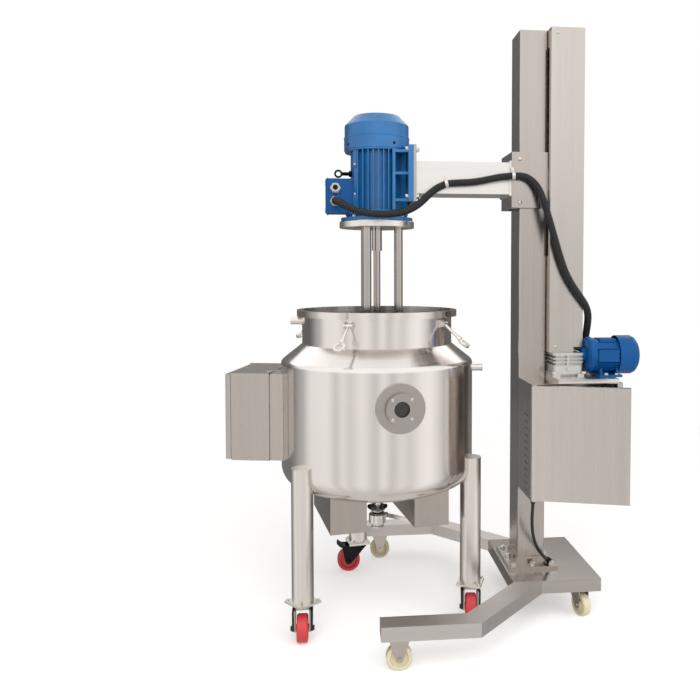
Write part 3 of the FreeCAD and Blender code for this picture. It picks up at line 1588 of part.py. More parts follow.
def make_terminal_fittings():
    """Two cable glands facing forward and the lifting eye bolt in the motor's side above the box."""
    fittings = []
    front = -terminal_half_depth + 2
    for index, height in enumerate(gland_heights):
        start = Vec(gland_x, front, height)
        end = Vec(gland_x, -terminal_half_depth - gland_length, height)
        nut = hexagon(36, Vec(gland_x, front, height), Vec(0, -1, 0), 9)
        body = bar(gland_radius, start, end)
        inner = hose_diameter / 2 if index == 0 else 10
        mouth = bar(inner - 3, end + Vec(0, 8, 0), end - Vec(0, 1, 0))
        gland = joined([nut, body])
        fittings.append(gland if index == 0 else gland.cut(mouth))
    eye = Vec(lifting_eye_x, lifting_eye_y, terminal_top + lifting_eye_radius + lifting_eye_gap)
    half = Vec(0, 4, 0)
    seat = bar(motor_core_radius + seat_gap, Vec(0, 0, terminal_bottom), Vec(0, 0, motor_frame_top))
    shank = bar(lifting_eye_shank_radius, eye, Vec(-motor_core_radius * 0.9, eye.y, eye.z))
    collar = bar(12, Vec(-motor_core_radius - 7, eye.y, eye.z), Vec(-motor_core_radius * 0.9, eye.y, eye.z))
    hole = bar(lifting_eye_radius - 7, eye - half * 2, eye + half * 2)
    eye_bolt = joined([bar(lifting_eye_radius, eye - half, eye + half), shank, collar]).cut(hole).cut(seat)
    fittings.append(max(eye_bolt.Solids, key=lambda solid: solid.Volume))
    return Part.makeCompound(fittings)


def make_mounting_disc():
    """Stainless disc under the motor that carries the rods, with the shaft opening."""
    disc = bar(disc_radius, Vec(0, 0, disc_bottom), Vec(0, 0, disc_top))
    disc = disc.makeChamfer(2, [e for e in disc.Edges if e.Closed])
    return disc.cut(bar(sleeve_radius + 8, Vec(0, 0, disc_bottom - 1), Vec(0, 0, disc_top + 1)))


def make_support_rods():
    """Three rods from the disc to the head plate."""
    rods = []
    for azimuth in support_rod_azimuths:
        foot = polar(support_rod_circle, azimuth, head_plate_top)
        rods.append(bar(support_rod_radius, foot, polar(support_rod_circle, azimuth, disc_bottom)))
    return Part.makeCompound(rods)


def make_stator_head():
    """Head plate with the slotted stator ring and the suction lip below it."""
    plate_bottom = head_plate_top - head_plate_thickness
    inner = stator_outer_radius - stator_wall
    plate = bar(head_plate_radius, Vec(0, 0, plate_bottom), Vec(0, 0, head_plate_top))
    plate = plate.makeChamfer(2, [e for e in plate.Edges if e.Closed])
    ring = bar(stator_outer_radius, Vec(0, 0, head_bottom), Vec(0, 0, plate_bottom))
    solid = joined([plate, ring])
    solid = solid.cut(bar(inner, Vec(0, 0, head_bottom + suction_lip), Vec(0, 0, plate_bottom)))
    solid = solid.cut(
        bar(suction_radius, Vec(0, 0, head_bottom - 1), Vec(0, 0, head_bottom + suction_lip + 1)),
    )
    solid = solid.cut(
        bar(shaft_radius + bush_wall, Vec(0, 0, plate_bottom - 1), Vec(0, 0, head_plate_top + 1)),
    )
    slots = []
    margin = stator_slot_margin
    for index in range(stator_slot_count):
        slot = block(
            (inner - 5, stator_outer_radius + 5), (-stator_slot_width / 2, stator_slot_width / 2),
            (head_bottom + suction_lip + margin / 2, plate_bottom - margin),
        )
        slots.append(rotated(slot, 360.0 * index / stator_slot_count))
    return solid.cut(Part.makeCompound(slots))


def make_shaft_bush():
    """Plain bush pressed into the head plate round the shaft."""
    low = head_plate_top - head_plate_thickness
    return pipe(
        shaft_radius + bush_wall, shaft_radius + running_clearance, Vec(0, 0, low),
        Vec(0, 0, head_plate_top + 4),
    )


def make_mixer_shaft():
    """Mixing shaft with its coupling sleeve and the motor shaft end."""
    rotor_top = head_plate_top - head_plate_thickness - 3 * working_gap
    lower = bar(shaft_radius, Vec(0, 0, rotor_top), Vec(0, 0, disc_bottom))
    sleeve = bar(sleeve_radius, Vec(0, 0, sleeve_bottom), Vec(0, 0, motor_bottom + 2))
    end = bar(sleeve_radius - 1, Vec(0, 0, motor_bottom), Vec(0, 0, motor_bottom + 44))
    return joined([lower, sleeve, end])


def make_mixer_rotor():
    """Rotor with swept vanes that shear past the slotted stator."""
    top = head_plate_top - head_plate_thickness - 3 * working_gap
    low = head_bottom + suction_lip + 2 * working_gap
    tip = stator_outer_radius - stator_wall - shear_gap
    shapes = [
        bar(rotor_hub_radius, Vec(0, 0, low), Vec(0, 0, top)),
        bar(tip, Vec(0, 0, top - rotor_disc_thickness), Vec(0, 0, top)),
    ]
    half = rotor_vane_thickness / 2
    for index in range(rotor_vane_count):
        vane = in_plan([(10, -half), (tip + 4, -half + 16), (tip + 4, half + 20), (10, half)], low, top - 1)
        shapes.append(rotated(vane, 360.0 * index / rotor_vane_count))
    solid = joined(shapes)
    return solid.common(bar(tip, Vec(0, 0, low), Vec(0, 0, top)))


def corner_radius(before, corner, after):
    """Largest arc radius at a route point: 0.45 of the shorter run over the tangent of half the turn."""
    first = corner.sub(before)
    second = after.sub(corner)
    turn = first.getAngle(second)
    return 0.45 * min(first.Length, second.Length) / math.tan(turn / 2)


def cord(route, diameter, name):
    """Round cord along a route of straight runs joined by tangent arcs."""
    points = [Vec(*point) for point in route]
    edges = []
    start = points[0]
    radii = []
    for before, corner, after in zip(points, points[1:], points[2:]):
        radius = corner_radius(before, corner, after)
        radii.append(radius)
        into = corner.sub(before).normalize()
        out = after.sub(corner).normalize()
        trim = 0.45 * min(corner.sub(before).Length, after.sub(corner).Length)
        first = corner - into * trim
        last = corner + out * trim
        bisector = (out - into).normalize()
        half = into.getAngle(out) / 2
        middle = corner + bisector * (radius / math.cos(half) - radius)
        edges.append(Part.LineSegment(start, first).toShape())
        edges.append(Part.Arc(first, middle, last).toShape())
        start = last
    edges.append(Part.LineSegment(start, points[-1]).toShape())
    path = Part.Wire(edges)
    circle = Part.Circle(points[0], points[1].sub(points[0]), diameter / 2).toShape()
    solid = path.makePipeShell([Part.Wire([circle])], True, False)
    share = solid.Volume / (math.pi * diameter ** 2 / 4 * path.Length)
    print(f"{name}: length {path.Length:.0f} mm, smallest bend {min(radii):.0f} mm, volume share {share:.4f}")
    return solid


def hose_clip(centre, heading, wall_y):
    """Band round the hose with a tab that bolts to the flat face behind it."""
    radius = hose_diameter / 2
    along = Vec(heading).normalize() * (clip_width / 2)
    band = pipe(radius + clip_wall, radius + seat_gap / 2, centre - along, centre + along)
    tab = block(
        (centre.x - clip_width / 2, centre.x + clip_width / 2), (wall_y - clip_wall, wall_y),
        (centre.z + 2, centre.z + radius + 20),
    )
    band_back = centre.y + radius + clip_wall
    bridge = block(
        (centre.x - clip_width / 2, centre.x + clip_width / 2), (min(band_back, wall_y) - 3, wall_y),
        (centre.z + 2, centre.z + 9),
    )
    bolt = hexagon(10, Vec(centre.x, wall_y - clip_wall, centre.z + radius + 13), Vec(0, -1, 0), 5)
    hose_room = bar(radius + seat_gap / 2, centre - along * 4, centre + along * 4)
    return joined([band, tab, bridge, bolt]).cut(hose_room)


def make_hose_clips(hose):
    """One clip on the arm and one on the carriage, each closed round the hose that it holds."""
    arm_centre = Vec(*min(motor_hose_route, key=lambda point: abs(point[0] - arm_clip_x)))
    carriage_centre = Vec(*motor_hose_route[-1])
    heading = carriage_centre - Vec(*motor_hose_route[-2])
    first = hose_clip(arm_centre, Vec(1, 0, 0.25), -arm_half_width)
    second = hose_clip(carriage_centre, heading, -carriage_half_depth)
    return Part.makeCompound([first.cut(hose), second.cut(hose)])


def build():
    """Every node by name, in the drawing frame."""
    motor_hose = cord(motor_hose_route, hose_diameter, "motor_hose")
    nodes = {
        "base_deck": make_base_deck(),
        "outriggers": make_outriggers(),
        "column": make_column(),
        "screw_housing": make_screw_housing(),
        "lift_screw": make_lift_screw(),
        "lift_gearbox": make_gearbox(),
        "lift_motor": Part.makeCompound([make_lift_motor(), make_lift_motor_cover()]),
        "motor_base_plate": make_motor_base_plate(),
        "cabinet": make_cabinet(),
        "cabinet_door": make_cabinet_door(),
        "stand_glands": make_stand_glands(),
        "fixed_caster_forks": make_fixed_caster_forks(),
        "carriage": make_carriage(),
        "guide_pads": make_guide_pads(),
        "lift_nut": make_lift_nut(),
        "arm": make_arm(),
        "arm_end_plate": make_arm_end_plate(),
        "mixer_motor": make_mixer_motor(),
        "mixer_motor_fan_cover": make_mixer_motor_cover(),
        "terminal_box": make_terminal_box(),
        "terminal_fittings": make_terminal_fittings(),
        "mounting_disc": make_mounting_disc(),
        "support_rods": make_support_rods(),
        "stator_head": make_stator_head(),
        "shaft_bush": make_shaft_bush(),
        "mixer_shaft": make_mixer_shaft(),
        "mixer_rotor": make_mixer_rotor(),
        "hose_clips": make_hose_clips(motor_hose),
        "motor_hose": motor_hose,
        "hanging_hose": cord(hanging_hose_route, hose_diameter, "hanging_hose"),
        "power_cable": cord(power_cable_route, cable_diameter, "power_cable"),
        "inner_vessel": make_inner_vessel(),
        "jacket": make_jacket(),
        "vessel_legs": make_legs(),
        "sight_flange": make_sight_flange(),
        "sight_glass": make_sight_glass(),
        "swing_bolt_lugs": make_swing_lugs(),
        "outlet_clamp": make_outlet_clamp(),
        "outlet_valve": make_outlet_valve(),
        "valve_lever": make_valve_lever(),
        "heater_boxes": make_heater_boxes(),
        "control_box": make_control_box(),
        "control_box_door": make_control_box_door(),
        "brake_pedal": vessel_caster_place(make_brake_pedal(), "rear"),
    }
    for index, azimuth in enumerate(swing_bolt_azimuths, start=1):
        nodes[f"swing_bolt_{index}"] = make_swing_bolt(azimuth)
    for name in leg_azimuths:
        nodes[f"{name}_caster_fork"] = vessel_caster_place(vessel_fork(name == "rear"), name)
        nodes[f"{name}_caster_wheel"] = vessel_caster_place(vessel_wheel_shape(), name)
    for name, side in (("near", -1), ("far", 1)):
        trail = Vec(stand_swivel_trail, 0, 0)
        nodes[f"{name}_fixed_wheel"] = moved(
            stand_wheel(), Vec(stand_fixed_caster_x, side * outrigger_centre, 0),
        )
        nodes[f"{name}_swivel_fork"] = stand_swivel_place(stand_swivel_fork(), side)
        nodes[f"{name}_swivel_wheel"] = stand_swivel_place(moved(stand_wheel(), trail), side)
    return nodes


cord_names = ["motor_hose", "hanging_hose", "power_cable"]
parts = build()
bounds = FreeCAD.BoundBox()
for name, shape in parts.items():
    if name not in cord_names:
        bounds.add(shape.BoundBox)
origin = Vec((bounds.XMin + bounds.XMax) / 2, (bounds.YMin + bounds.YMax) / 2, bounds.ZMin)

for name, shape in parts.items():
    placed = moved(shape, origin * -1)
    placed.exportStep(f"parts/{name}.step")

print(f"{len(parts)} nodes, origin shift {origin.x:.3f} {origin.y:.3f} {origin.z:.3f}")
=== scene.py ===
"""High shear mixer with its jacketed vessel: the finishes, hoses and small hardware on the CAD frame."""

import json
import math

import bpy
from mathutils import Matrix, Vector


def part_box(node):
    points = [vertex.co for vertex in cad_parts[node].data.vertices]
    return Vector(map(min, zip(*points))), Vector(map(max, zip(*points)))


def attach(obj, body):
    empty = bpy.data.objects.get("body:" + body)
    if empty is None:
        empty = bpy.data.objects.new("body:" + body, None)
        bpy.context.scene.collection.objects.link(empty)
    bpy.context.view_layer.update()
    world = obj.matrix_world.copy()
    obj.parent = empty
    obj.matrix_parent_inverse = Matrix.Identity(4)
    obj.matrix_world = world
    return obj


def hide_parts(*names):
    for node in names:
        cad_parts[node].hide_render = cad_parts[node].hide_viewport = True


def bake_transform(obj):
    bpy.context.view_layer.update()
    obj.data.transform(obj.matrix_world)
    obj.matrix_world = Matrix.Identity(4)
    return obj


bl_info = {
    "name": "High shear mixer dressing",
    "version": (1, 0, 0),
    "blender": (4, 5, 0),
    "location": "View3D > Sidebar > Mixer",
    "description": "Finishes, hoses, bolts and studio for the high shear mixer",
    "category": "Object",
}

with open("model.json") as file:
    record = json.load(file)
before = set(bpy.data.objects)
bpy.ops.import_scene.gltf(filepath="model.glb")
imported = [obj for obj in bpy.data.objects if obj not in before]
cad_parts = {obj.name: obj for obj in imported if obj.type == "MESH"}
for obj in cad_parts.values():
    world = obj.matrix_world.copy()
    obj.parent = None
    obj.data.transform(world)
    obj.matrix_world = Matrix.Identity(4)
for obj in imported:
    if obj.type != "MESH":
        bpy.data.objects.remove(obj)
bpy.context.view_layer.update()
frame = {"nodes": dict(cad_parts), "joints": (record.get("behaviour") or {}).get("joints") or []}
nodes = frame["nodes"]
joints = {joint["name"]: joint for joint in frame["joints"]}

# The mixing axis. Places below are millimetres from it, with the floor at height 0.
mixing_axis = Vector((joints["rotor_spin"]["pos_m"][0], joints["rotor_spin"]["pos_m"][1], 0.0))

# Control points of the three cords' lines, in metres, as in the CAD source.
MOTOR_HOSE_ROUTE = (
    (-0.3742, -0.0880, 1.6010), (-0.3742, -0.1260, 1.6010), (-0.3622, -0.1620, 1.5900),
    (-0.3382, -0.1890, 1.5720), (-0.3012, -0.2040, 1.5540), (-0.2542, -0.2080, 1.5440),
    (-0.2062, -0.2020, 1.5410), (-0.1602, -0.1880, 1.5450), (-0.1182, -0.1690, 1.5550),
    (-0.0812, -0.1480, 1.5720), (-0.0492, -0.1270, 1.5960), (-0.0212, -0.1100, 1.6240),
    (0.0098, -0.1000, 1.6500), (0.0478, -0.0970, 1.6680), (0.0898, -0.0970, 1.6720),
    (0.1358, -0.0980, 1.6740), (0.1838, -0.0995, 1.6800), (0.2288, -0.1020, 1.6900),
    (0.2708, -0.1050, 1.6980), (0.3078, -0.1070, 1.7000),
)
HANGING_HOSE_ROUTE = (
    (0.3078, -0.1070, 1.7000), (0.3448, -0.1090, 1.7020), (0.3768, -0.1120, 1.6860),
    (0.4018, -0.1190, 1.6570), (0.4178, -0.1280, 1.6180), (0.4308, -0.1350, 1.5710),
    (0.4448, -0.1395, 1.5220), (0.4598, -0.1420, 1.4700), (0.4748, -0.1430, 1.4180),
    (0.4908, -0.1430, 1.3680), (0.5098, -0.1430, 1.3200), (0.5338, -0.1435, 1.2780),
    (0.5608, -0.1435, 1.2400), (0.5878, -0.1380, 1.2040), (0.6068, -0.1160, 1.1680),
    (0.6158, -0.0860, 1.1300), (0.6198, -0.0570, 1.0880), (0.6208, -0.0360, 1.0420),
    (0.6208, -0.0260, 0.9940), (0.6208, -0.0250, 0.9580), (0.6208, -0.0250, 0.9250),
)
POWER_CABLE_ROUTE = (
    (0.3628, -0.2200, 0.4580), (0.3618, -0.2190, 0.4300), (0.3608, -0.2150, 0.3960),
    (0.3638, -0.2070, 0.3600), (0.3708, -0.1960, 0.3250), (0.3828, -0.1810, 0.2910),
    (0.3988, -0.1640, 0.2590), (0.4188, -0.1420, 0.2320), (0.4398, -0.1170, 0.2090),
    (0.4588, -0.0920, 0.1900),
)

# One rib of the hose along its pitch, as shares of its depth, and the steps along the cords in metres.
RIB_SHAPE = (0.0, 0.35, 1.0, 0.35)
CABLE_STEP = 0.006
PATH_STEP = 0.01

# Values of the CAD source that the finishes and the small hardware follow, in millimetres and degrees.
# Places are off the mixing axis, heights from the floor.
COLUMN_MIDDLE = 608
CARRIAGE_SCREW_LINE = 550
CARRIAGE_HALF_DEPTH = 90
FOOT_PLATE_TOP = 174
BASE_PLATE_TOP = 928
GEARBOX_FOOT_THICKNESS = 10
LIFT_MOTOR_Y = -125
LIFT_MOTOR_NOSE = 13
LIFT_MOTOR_SHIELD = 34
LIFT_MOTOR_FOOT_GAP = 4
LIFT_MOTOR_FOOT_THICKNESS = 9
TERMINAL_BOX_LEFT = -200
GLAND_FACE = (-162, -88, 1651)
NAME_PLATE_AZIMUTH = -138
JACKET_RADIUS = 375
LEG_AZIMUTHS = {"left": -140, "right": -20, "rear": 100}
COVERED_FORK_TRAILS = {"left": -90, "right": -97}
SIGHT_AZIMUTH = -81
SIGHT_HEIGHT = 854
SIGHT_RING_FACE = 28
LEVER_AZIMUTH = 47
LEVER_OFFSET = 49.5
LEVER_LENGTH = 158
CLAMP_KNOB_CIRCLE = 32
CLAMP_KNOB_SEAT = 389

# Places on the CAD pieces in metres: where a fork's covers begin beside its wheel, how far the lever's knob
# reaches from its middle, above what height the terminal fittings are the lifting eye, and hardware seats.
FORK_COVER_START = 0.0291
KNOB_REACH = 0.018
EYE_START = 1.685
CABINET_LEFT = 0.553
SIGHT_NUT_CIRCLE = 0.0485
CASTER_PLATE_TOP = 0.132
CASTER_BOLT_CIRCLE = 0.0553

# Widths of the hex heads across flats and of the round heads, in metres.
COLUMN_BOLT = 0.019
GEARBOX_BOLT = 0.017
LIFT_MOTOR_BOLT = 0.013
ARM_BOLT = 0.019
FLANGE_BOLT = 0.011
SIGHT_NUT = 0.009
CASTER_BOLT = 0.011
HOUSING_SCREW = 0.013
CARRIAGE_SCREW = 0.018
LID_SCREW = 0.009
NAME_PLATE_SCREW = 0.010
FAN_COVER_SCREW = 0.011

# Directions that hardware faces, and the places of four fasteners on a circle.
UP = (0, 0, 1)
LEFT = (-1, 0, 0)
RIGHT = (1, 0, 0)
FRONT = (0, -1, 0)
BACK = (0, 1, 0)
FOUR_ROUND = (45, 135, 225, 315)

# Profiles of the turned trims, as radius and height in millimetres.
KNOB_PROFILE = ((4.0, 0.0), (4.0, 3.0), (7.5, 5.0), (8.5, 9.0), (8.0, 14.0), (5.5, 17.0))
PLUG_PROFILE = ((10.0, -2.0), (10.0, 0.6), (8.5, 1.6))
TRIM_SIDES = 40

# Brushed and ground sheet: material, colour, roughness, direction of its lines and the nodes.
BRUSHED = (
    (
        "brushed_stainless_upright", "#BBB4AE", 0.28, "z",
        ("control_box", "control_box_door", "arm_end_plate"),
    ),
    ("brushed_cabinet_sheet", "#C9C2BC", 0.23, "z", ("screw_housing", "cabinet", "cabinet_door")),
    ("dull_stainless_box", "#B3ABA4", 0.36, "z", ("heater_boxes",)),
    ("ground_stainless_leg", "#E2DCD6", 0.3, "z", ("vessel_legs",)),
    ("brushed_stainless_along", "#B7B0AA", 0.2, "x", ("base_deck",)),
    ("ground_stainless_arm", "#ECE9E5", 0.34, "x", ("arm",)),
    ("ground_plate_steel", "#F0ECE8", 0.3, "y", ("motor_base_plate",)),
    ("ground_stainless_tube", "#CBC5C1", 0.46, "x", ("outriggers",)),
)

# Turned and ground steel: material, colour, roughness, axis and the nodes.
TURNED = (
    # The outlet clamp's steel is toned nearly black as a painted dark reflection.
    ("clamp_steel_painted_dark_reflection", "#6E6863", 0.3, "z", ("outlet_clamp",)),
    ("ground_rod_steel", "#BAB3AE", 0.14, "z", ("support_rods", "mixer_shaft")),
    ("turned_flange_steel", "#AFA8A3", 0.3, "x", ("sight_flange",)),
    ("bolt_steel", "#D9D6D0", 0.2, "z", ()),
    ("black_oxide_steel", "#2A2A2C", 0.32, "z", ()),
)

# Plain plastics: material, colour, roughness, grain per metre, depth of the grain and the nodes.
MOULDED = (
    ("white_ptfe", "#ECEBE6", 0.42, 300.0, 0.04, ("guide_pads",)),
    ("cable_pvc", "#1B1B1C", 0.38, 320.0, 0.04, ("power_cable",)),
    # The last row is no plastic: it is painted shade for the mouths of the air holes.
    ("hole_shadow", "#100F0E", 0.7, 300.0, 0.02, ()),
)

# The camera, fitted to the photograph: place in metres, angles in degrees, frame and lens in millimetres.
CAMERA_PLACE = (-0.392, -3.003, 1.325)
CAMERA_DOWN = 2.39
CAMERA_TURN = 6.05
CAMERA_FRAME = 36.0
CAMERA_LENS = 39.21
CAMERA_SHIFT = (-0.0884, -0.064)

# Lamps as place and size, and the point that both look at, in metres.
KEY_LAMP = ((-0.6, -3.0, 3.1), 2.4)
FILL_LAMP = ((2.6, -2.2, 1.9), 2.2)
LAMP_AIM = (0, 0, 0.9)

# The walls of the studio as metal sees them, as azimuth from the front (0 degrees) towards the right and
# brightness: large pale panels in front of the object, dark flags between them, and dim sides and back.
WALLS = (
    (-180, 0.15), (-135, 0.22), (-112, 0.42), (-100, 0.55), (-88, 1.00), (-62, 1.05), (-52, 0.72),
    (-44, 1.00), (-35, 0.80), (-20, 1.05), (-5, 0.70), (4, 1.05), (14, 0.70), (24, 0.95), (36, 0.80),
    (50, 1.10), (62, 1.15), (78, 0.75), (88, 0.30), (100, 0.50), (114, 0.20), (135, 0.10),
)

# The wall behind the object, as height of the direction (0 level, 1 straight up) and brightness: dim low
# down, with the pale ceiling above it.
BACK_WALL = ((0.0, 0.15), (0.35, 0.20), (0.42, 1.50))

# The rest of what metal sees: the ceiling, which the walls run into between two heights up to a share, the
# back wall between two depths, and the ground between two heights.
CEILING = (1.3, 1.3, 1.3, 1.0)
CEILING_EDGES = (0.02, 0.16)
CEILING_SHARE = 0.85
BACK_EDGES = (0.3, 0.6)
GROUND = (0.72, 0.70, 0.67, 1.0)
GROUND_EDGES = (-0.45, -0.85)

# The even light on matt surfaces: where it comes from, and how it grows towards that side.
DAY_DIRECTION = (0.5, -0.75, 0.43)
DAY_EDGES = (-0.6, 0.8)
DAY_SHARES = (0.3, 1.5)

# The floor: its fade in metres, its paper, its glow for the camera and its share hidden from metal.
FLOOR_FADE = (1.6, 5.0)
FLOOR_PAPER = "#F6F5F3"
FLOOR_GLOW = 0.37
FLOOR_HIDDEN = 0.9
FLOOR_SIDES = 64
WHITE = (1.0, 1.0, 1.0, 1.0)


def linear(code):
    """sRGB hex value to the linear colour that the shaders take."""
    channels = [int(code[i : i + 2], 16) / 255 for i in (1, 3, 5)]
    return [c / 12.92 if c <= 0.04045 else ((c + 0.055) / 1.055) ** 2.4 for c in channels] + [1.0]


def toned(tint, share):
    """Colour made darker or lighter by a share."""
    return [min(1.0, channel * share) for channel in tint[:3]] + [1.0]


def place(x, y, z):
    """Point in metres from millimetres off the mixing axis."""
    return mixing_axis + Vector((x, y, z)) / 1000


def polar(radius, azimuth, height):
    """Point in metres at a radius and azimuth round the mixing axis, in millimetres and degrees."""
    turn = math.radians(azimuth)
    return place(radius * math.cos(turn), radius * math.sin(turn), height)


def outward(azimuth):
    """Level direction at an azimuth."""
    turn = math.radians(azimuth)
    return Vector((math.cos(turn), math.sin(turn), 0))


def add_node(tree, kind, links=None, **settings):
    """Adds one node. Each link is an input by name or number, with its value or what feeds it: a socket, or
    a node by its first output in use. By number, a mix takes its share at 0, numbers at 2 and 3 and colours
    at 6 and 7, and a map range reads from 1 to 2 and gives from 3 to 4."""
    node = tree.nodes.new(kind)
    for name, value in settings.items():
        setattr(node, name, value)
    for name, value in (links or {}).items():
        if isinstance(value, bpy.types.Node):
            value = next(socket for socket in value.outputs if socket.enabled)
        if isinstance(value, bpy.types.NodeSocket):
            tree.links.new(value, node.inputs[name])
        else:
            node.inputs[name].default_value = value
    return node


def new_finish(name):
    """Material of that name with an empty tree, and the object coordinates that its patterns follow."""
    material = bpy.data.materials.new(name)
    material.use_nodes = True
    tree = material.node_tree
    tree.nodes.clear()
    coords = add_node(tree, "ShaderNodeTexCoord")
    return material, tree, coords.outputs["Object"]


def add_object(name, data):
    """Object of that name and data in the scene, at the origin."""
    thing = bpy.data.objects.new(name, data)
    bpy.context.scene.collection.objects.link(thing)
    return thing


def ring_faces(rings, sides):
    """Faces of a closed solid whose points lie ring after ring."""
    faces = []
    for i in range(rings - 1):
        for k in range(sides):
            a, b = i * sides + k, i * sides + (k + 1) % sides
            faces.append((a, b, b + sides, a + sides))
    last = (rings - 1) * sides
    faces.append(tuple(reversed(range(sides))))
    faces.append(tuple(last + k for k in range(sides)))
    return faces


# Sizes and colours


def length(name, description, default):
    """Length property in metres."""
    return bpy.props.FloatProperty(
        name=name, description=description, default=default, min=0.0, unit="LENGTH"
    )


def proportion(name, default, low, high):
    """Property that is a share of the width across flats."""
    note = "Share of the width across flats"
    return bpy.props.FloatProperty(name=name, description=note, default=default, min=low, max=high)


def lamp_power(name, description, default):
    """Lamp power property in watts."""
    return bpy.props.FloatProperty(
        name=name, description=description, default=default, min=0.0, unit="POWER"
    )


def colour(name, description, code):
    """Colour property from an sRGB hex value."""
    return bpy.props.FloatVectorProperty(
        name=name, description=description, default=linear(code), size=4, min=0.0, max=1.0, subtype="COLOR"
    )


class MixerFinishes(bpy.types.PropertyGroup):
    """Colours of the finishes."""

    stainless: colour("Stainless", "Brushed sheet of the column and the carriage", "#BCB4AE")
    vessel: colour("Vessel steel", "Polished stainless of the vessel", "#E5DFDB")
    cast: colour("Cast aluminium", "Gearbox casting", "#DEDCD8")
    zinc: colour("Zinc", "Zinc plated forks and brackets", "#C8C0B8")
    blue: colour("Mixing motor blue", "Enamel of the mixing motor", "#1E6BA7")
    # The lift motor and the terminal box take a deeper copy of the mixing motor's blue, as painted shade.
    painted_shade_blue: colour("Motor blue with painted shade", "Mixing motor enamel, deepened as painted shade for the lift motor and terminal box", "#0D5594")
    red: colour("Wheel red", "Polyurethane of the vessel wheels", "#DB4144")
    cream: colour("Wheel cream", "Nylon of the stand wheels", "#E8DFBC")
    black: colour("Black plastic", "Moulded covers, glands and knobs", "#0C0C0D")
    hose: colour("Hose black", "Corrugated hose", "#111214")
    bronze: colour("Bronze", "Bush and nut", "#B08A4E")


class MixerHoses(bpy.types.PropertyGroup):
    """Sizes of the hoses and the cable."""

    hose_diameter: length("Hose diameter", "Outside diameter of the corrugated hose", 0.029)
    rib_pitch: length("Rib pitch", "Distance from one rib of the hose to the next", 0.008)
    rib_depth: length("Rib depth", "How far the valleys lie below the ribs", 0.003)
    cable_diameter: length("Cable diameter", "Outside diameter of the power cable", 0.012)
    sides: bpy.props.IntProperty(name="Sides", description="Faces round a hose", default=20, min=8, max=64)


class MixerBolts(bpy.types.PropertyGroup):
    """Proportions of the bolt heads, as shares of the width across flats."""

    head_height: proportion("Head height", 0.4, 0.1, 1.0)
    washer_width: proportion("Washer width", 1.3, 1.0, 2.0)
    washer_thickness: proportion("Washer thickness", 0.13, 0.02, 0.5)


class MixerHoles(bpy.types.PropertyGroup):
    """Air holes in the left side of the electrical cabinet."""

    diameter: length("Hole diameter", "Diameter of one air hole", 0.007)
    pitch: length("Hole pitch", "Height from one hole to the next", 0.026)
    rows: bpy.props.IntProperty(name="Rows", description="Holes in one line", default=12, min=1, max=40)
    lines: bpy.props.IntProperty(
        name="Lines", description="Upright lines of holes", default=2, min=1, max=10
    )


class MixerStage(bpy.types.PropertyGroup):
    """Studio round the object."""

    floor_radius: length("Floor radius", "Radius of the studio floor", 9.0)
    key_power: lamp_power("Key light", "Power of the large lamp above the camera", 50.0)
    fill_power: lamp_power("Fill light", "Power of the lamp on the right", 22.0)
    daylight: bpy.props.FloatProperty(
        name="Daylight", description="Strength of the room's even light", default=0.62, min=0.0, max=2.0
    )


# Finishes


def end_finish(material, shade, gloss, surface, relief=None):
    """Ends a finish: its two colours mixed, its range of roughness, its relief and its other inputs."""
    tree = material.node_tree
    colours = add_node(tree, "ShaderNodeMix", shade, data_type="RGBA")
    links = {"Base Color": colours, "Roughness": add_node(tree, "ShaderNodeMapRange", gloss)}
    if relief:
        links["Normal"] = add_node(tree, "ShaderNodeBump", relief)
    shader = add_node(tree, "ShaderNodeBsdfPrincipled", links | surface)
    add_node(tree, "ShaderNodeOutputMaterial", {"Surface": shader})
    return material


def brushed_stainless(name, tint, roughness, grain):
    """Cold rolled 304 sheet brushed with an abrasive belt: a satin face whose lines run along the long
    side, broad soft highlights and a slightly uneven tone from the rolling. The belt's lines are 0.1 to 0.2
    mm wide, drawn 1.5 mm wide so that they show, and the tone changes over 25 mm across the lines."""
    material, tree, point = new_finish(name)
    noises = []
    for along, across, detail, rough in ((4.0, 650.0, 3.0, 0.6), (1.2, 40.0, 2.0, 0.5)):
        scale = [along if axis == grain else across for axis in "xyz"]
        drawn = add_node(tree, "ShaderNodeMapping", {"Vector": point, "Scale": scale})
        links = {"Vector": drawn, "Scale": 1.0, "Detail": detail, "Roughness": rough}
        noises.append(add_node(tree, "ShaderNodeTexNoise", links))
    lines, tone = noises
    both = add_node(tree, "ShaderNodeMix", {0: 0.35, 2: tone, 3: lines}, data_type="FLOAT")
    return end_finish(
        material,
        shade={0: both, 6: toned(tint, 0.88), 7: toned(tint, 1.08)},
        gloss={"Value": lines, 1: 0.25, 2: 0.75, 3: roughness - 0.05, 4: roughness + 0.07},
        surface={"Metallic": 1.0},
        relief={"Height": lines, "Strength": 0.12, "Distance": 0.0006},
    )


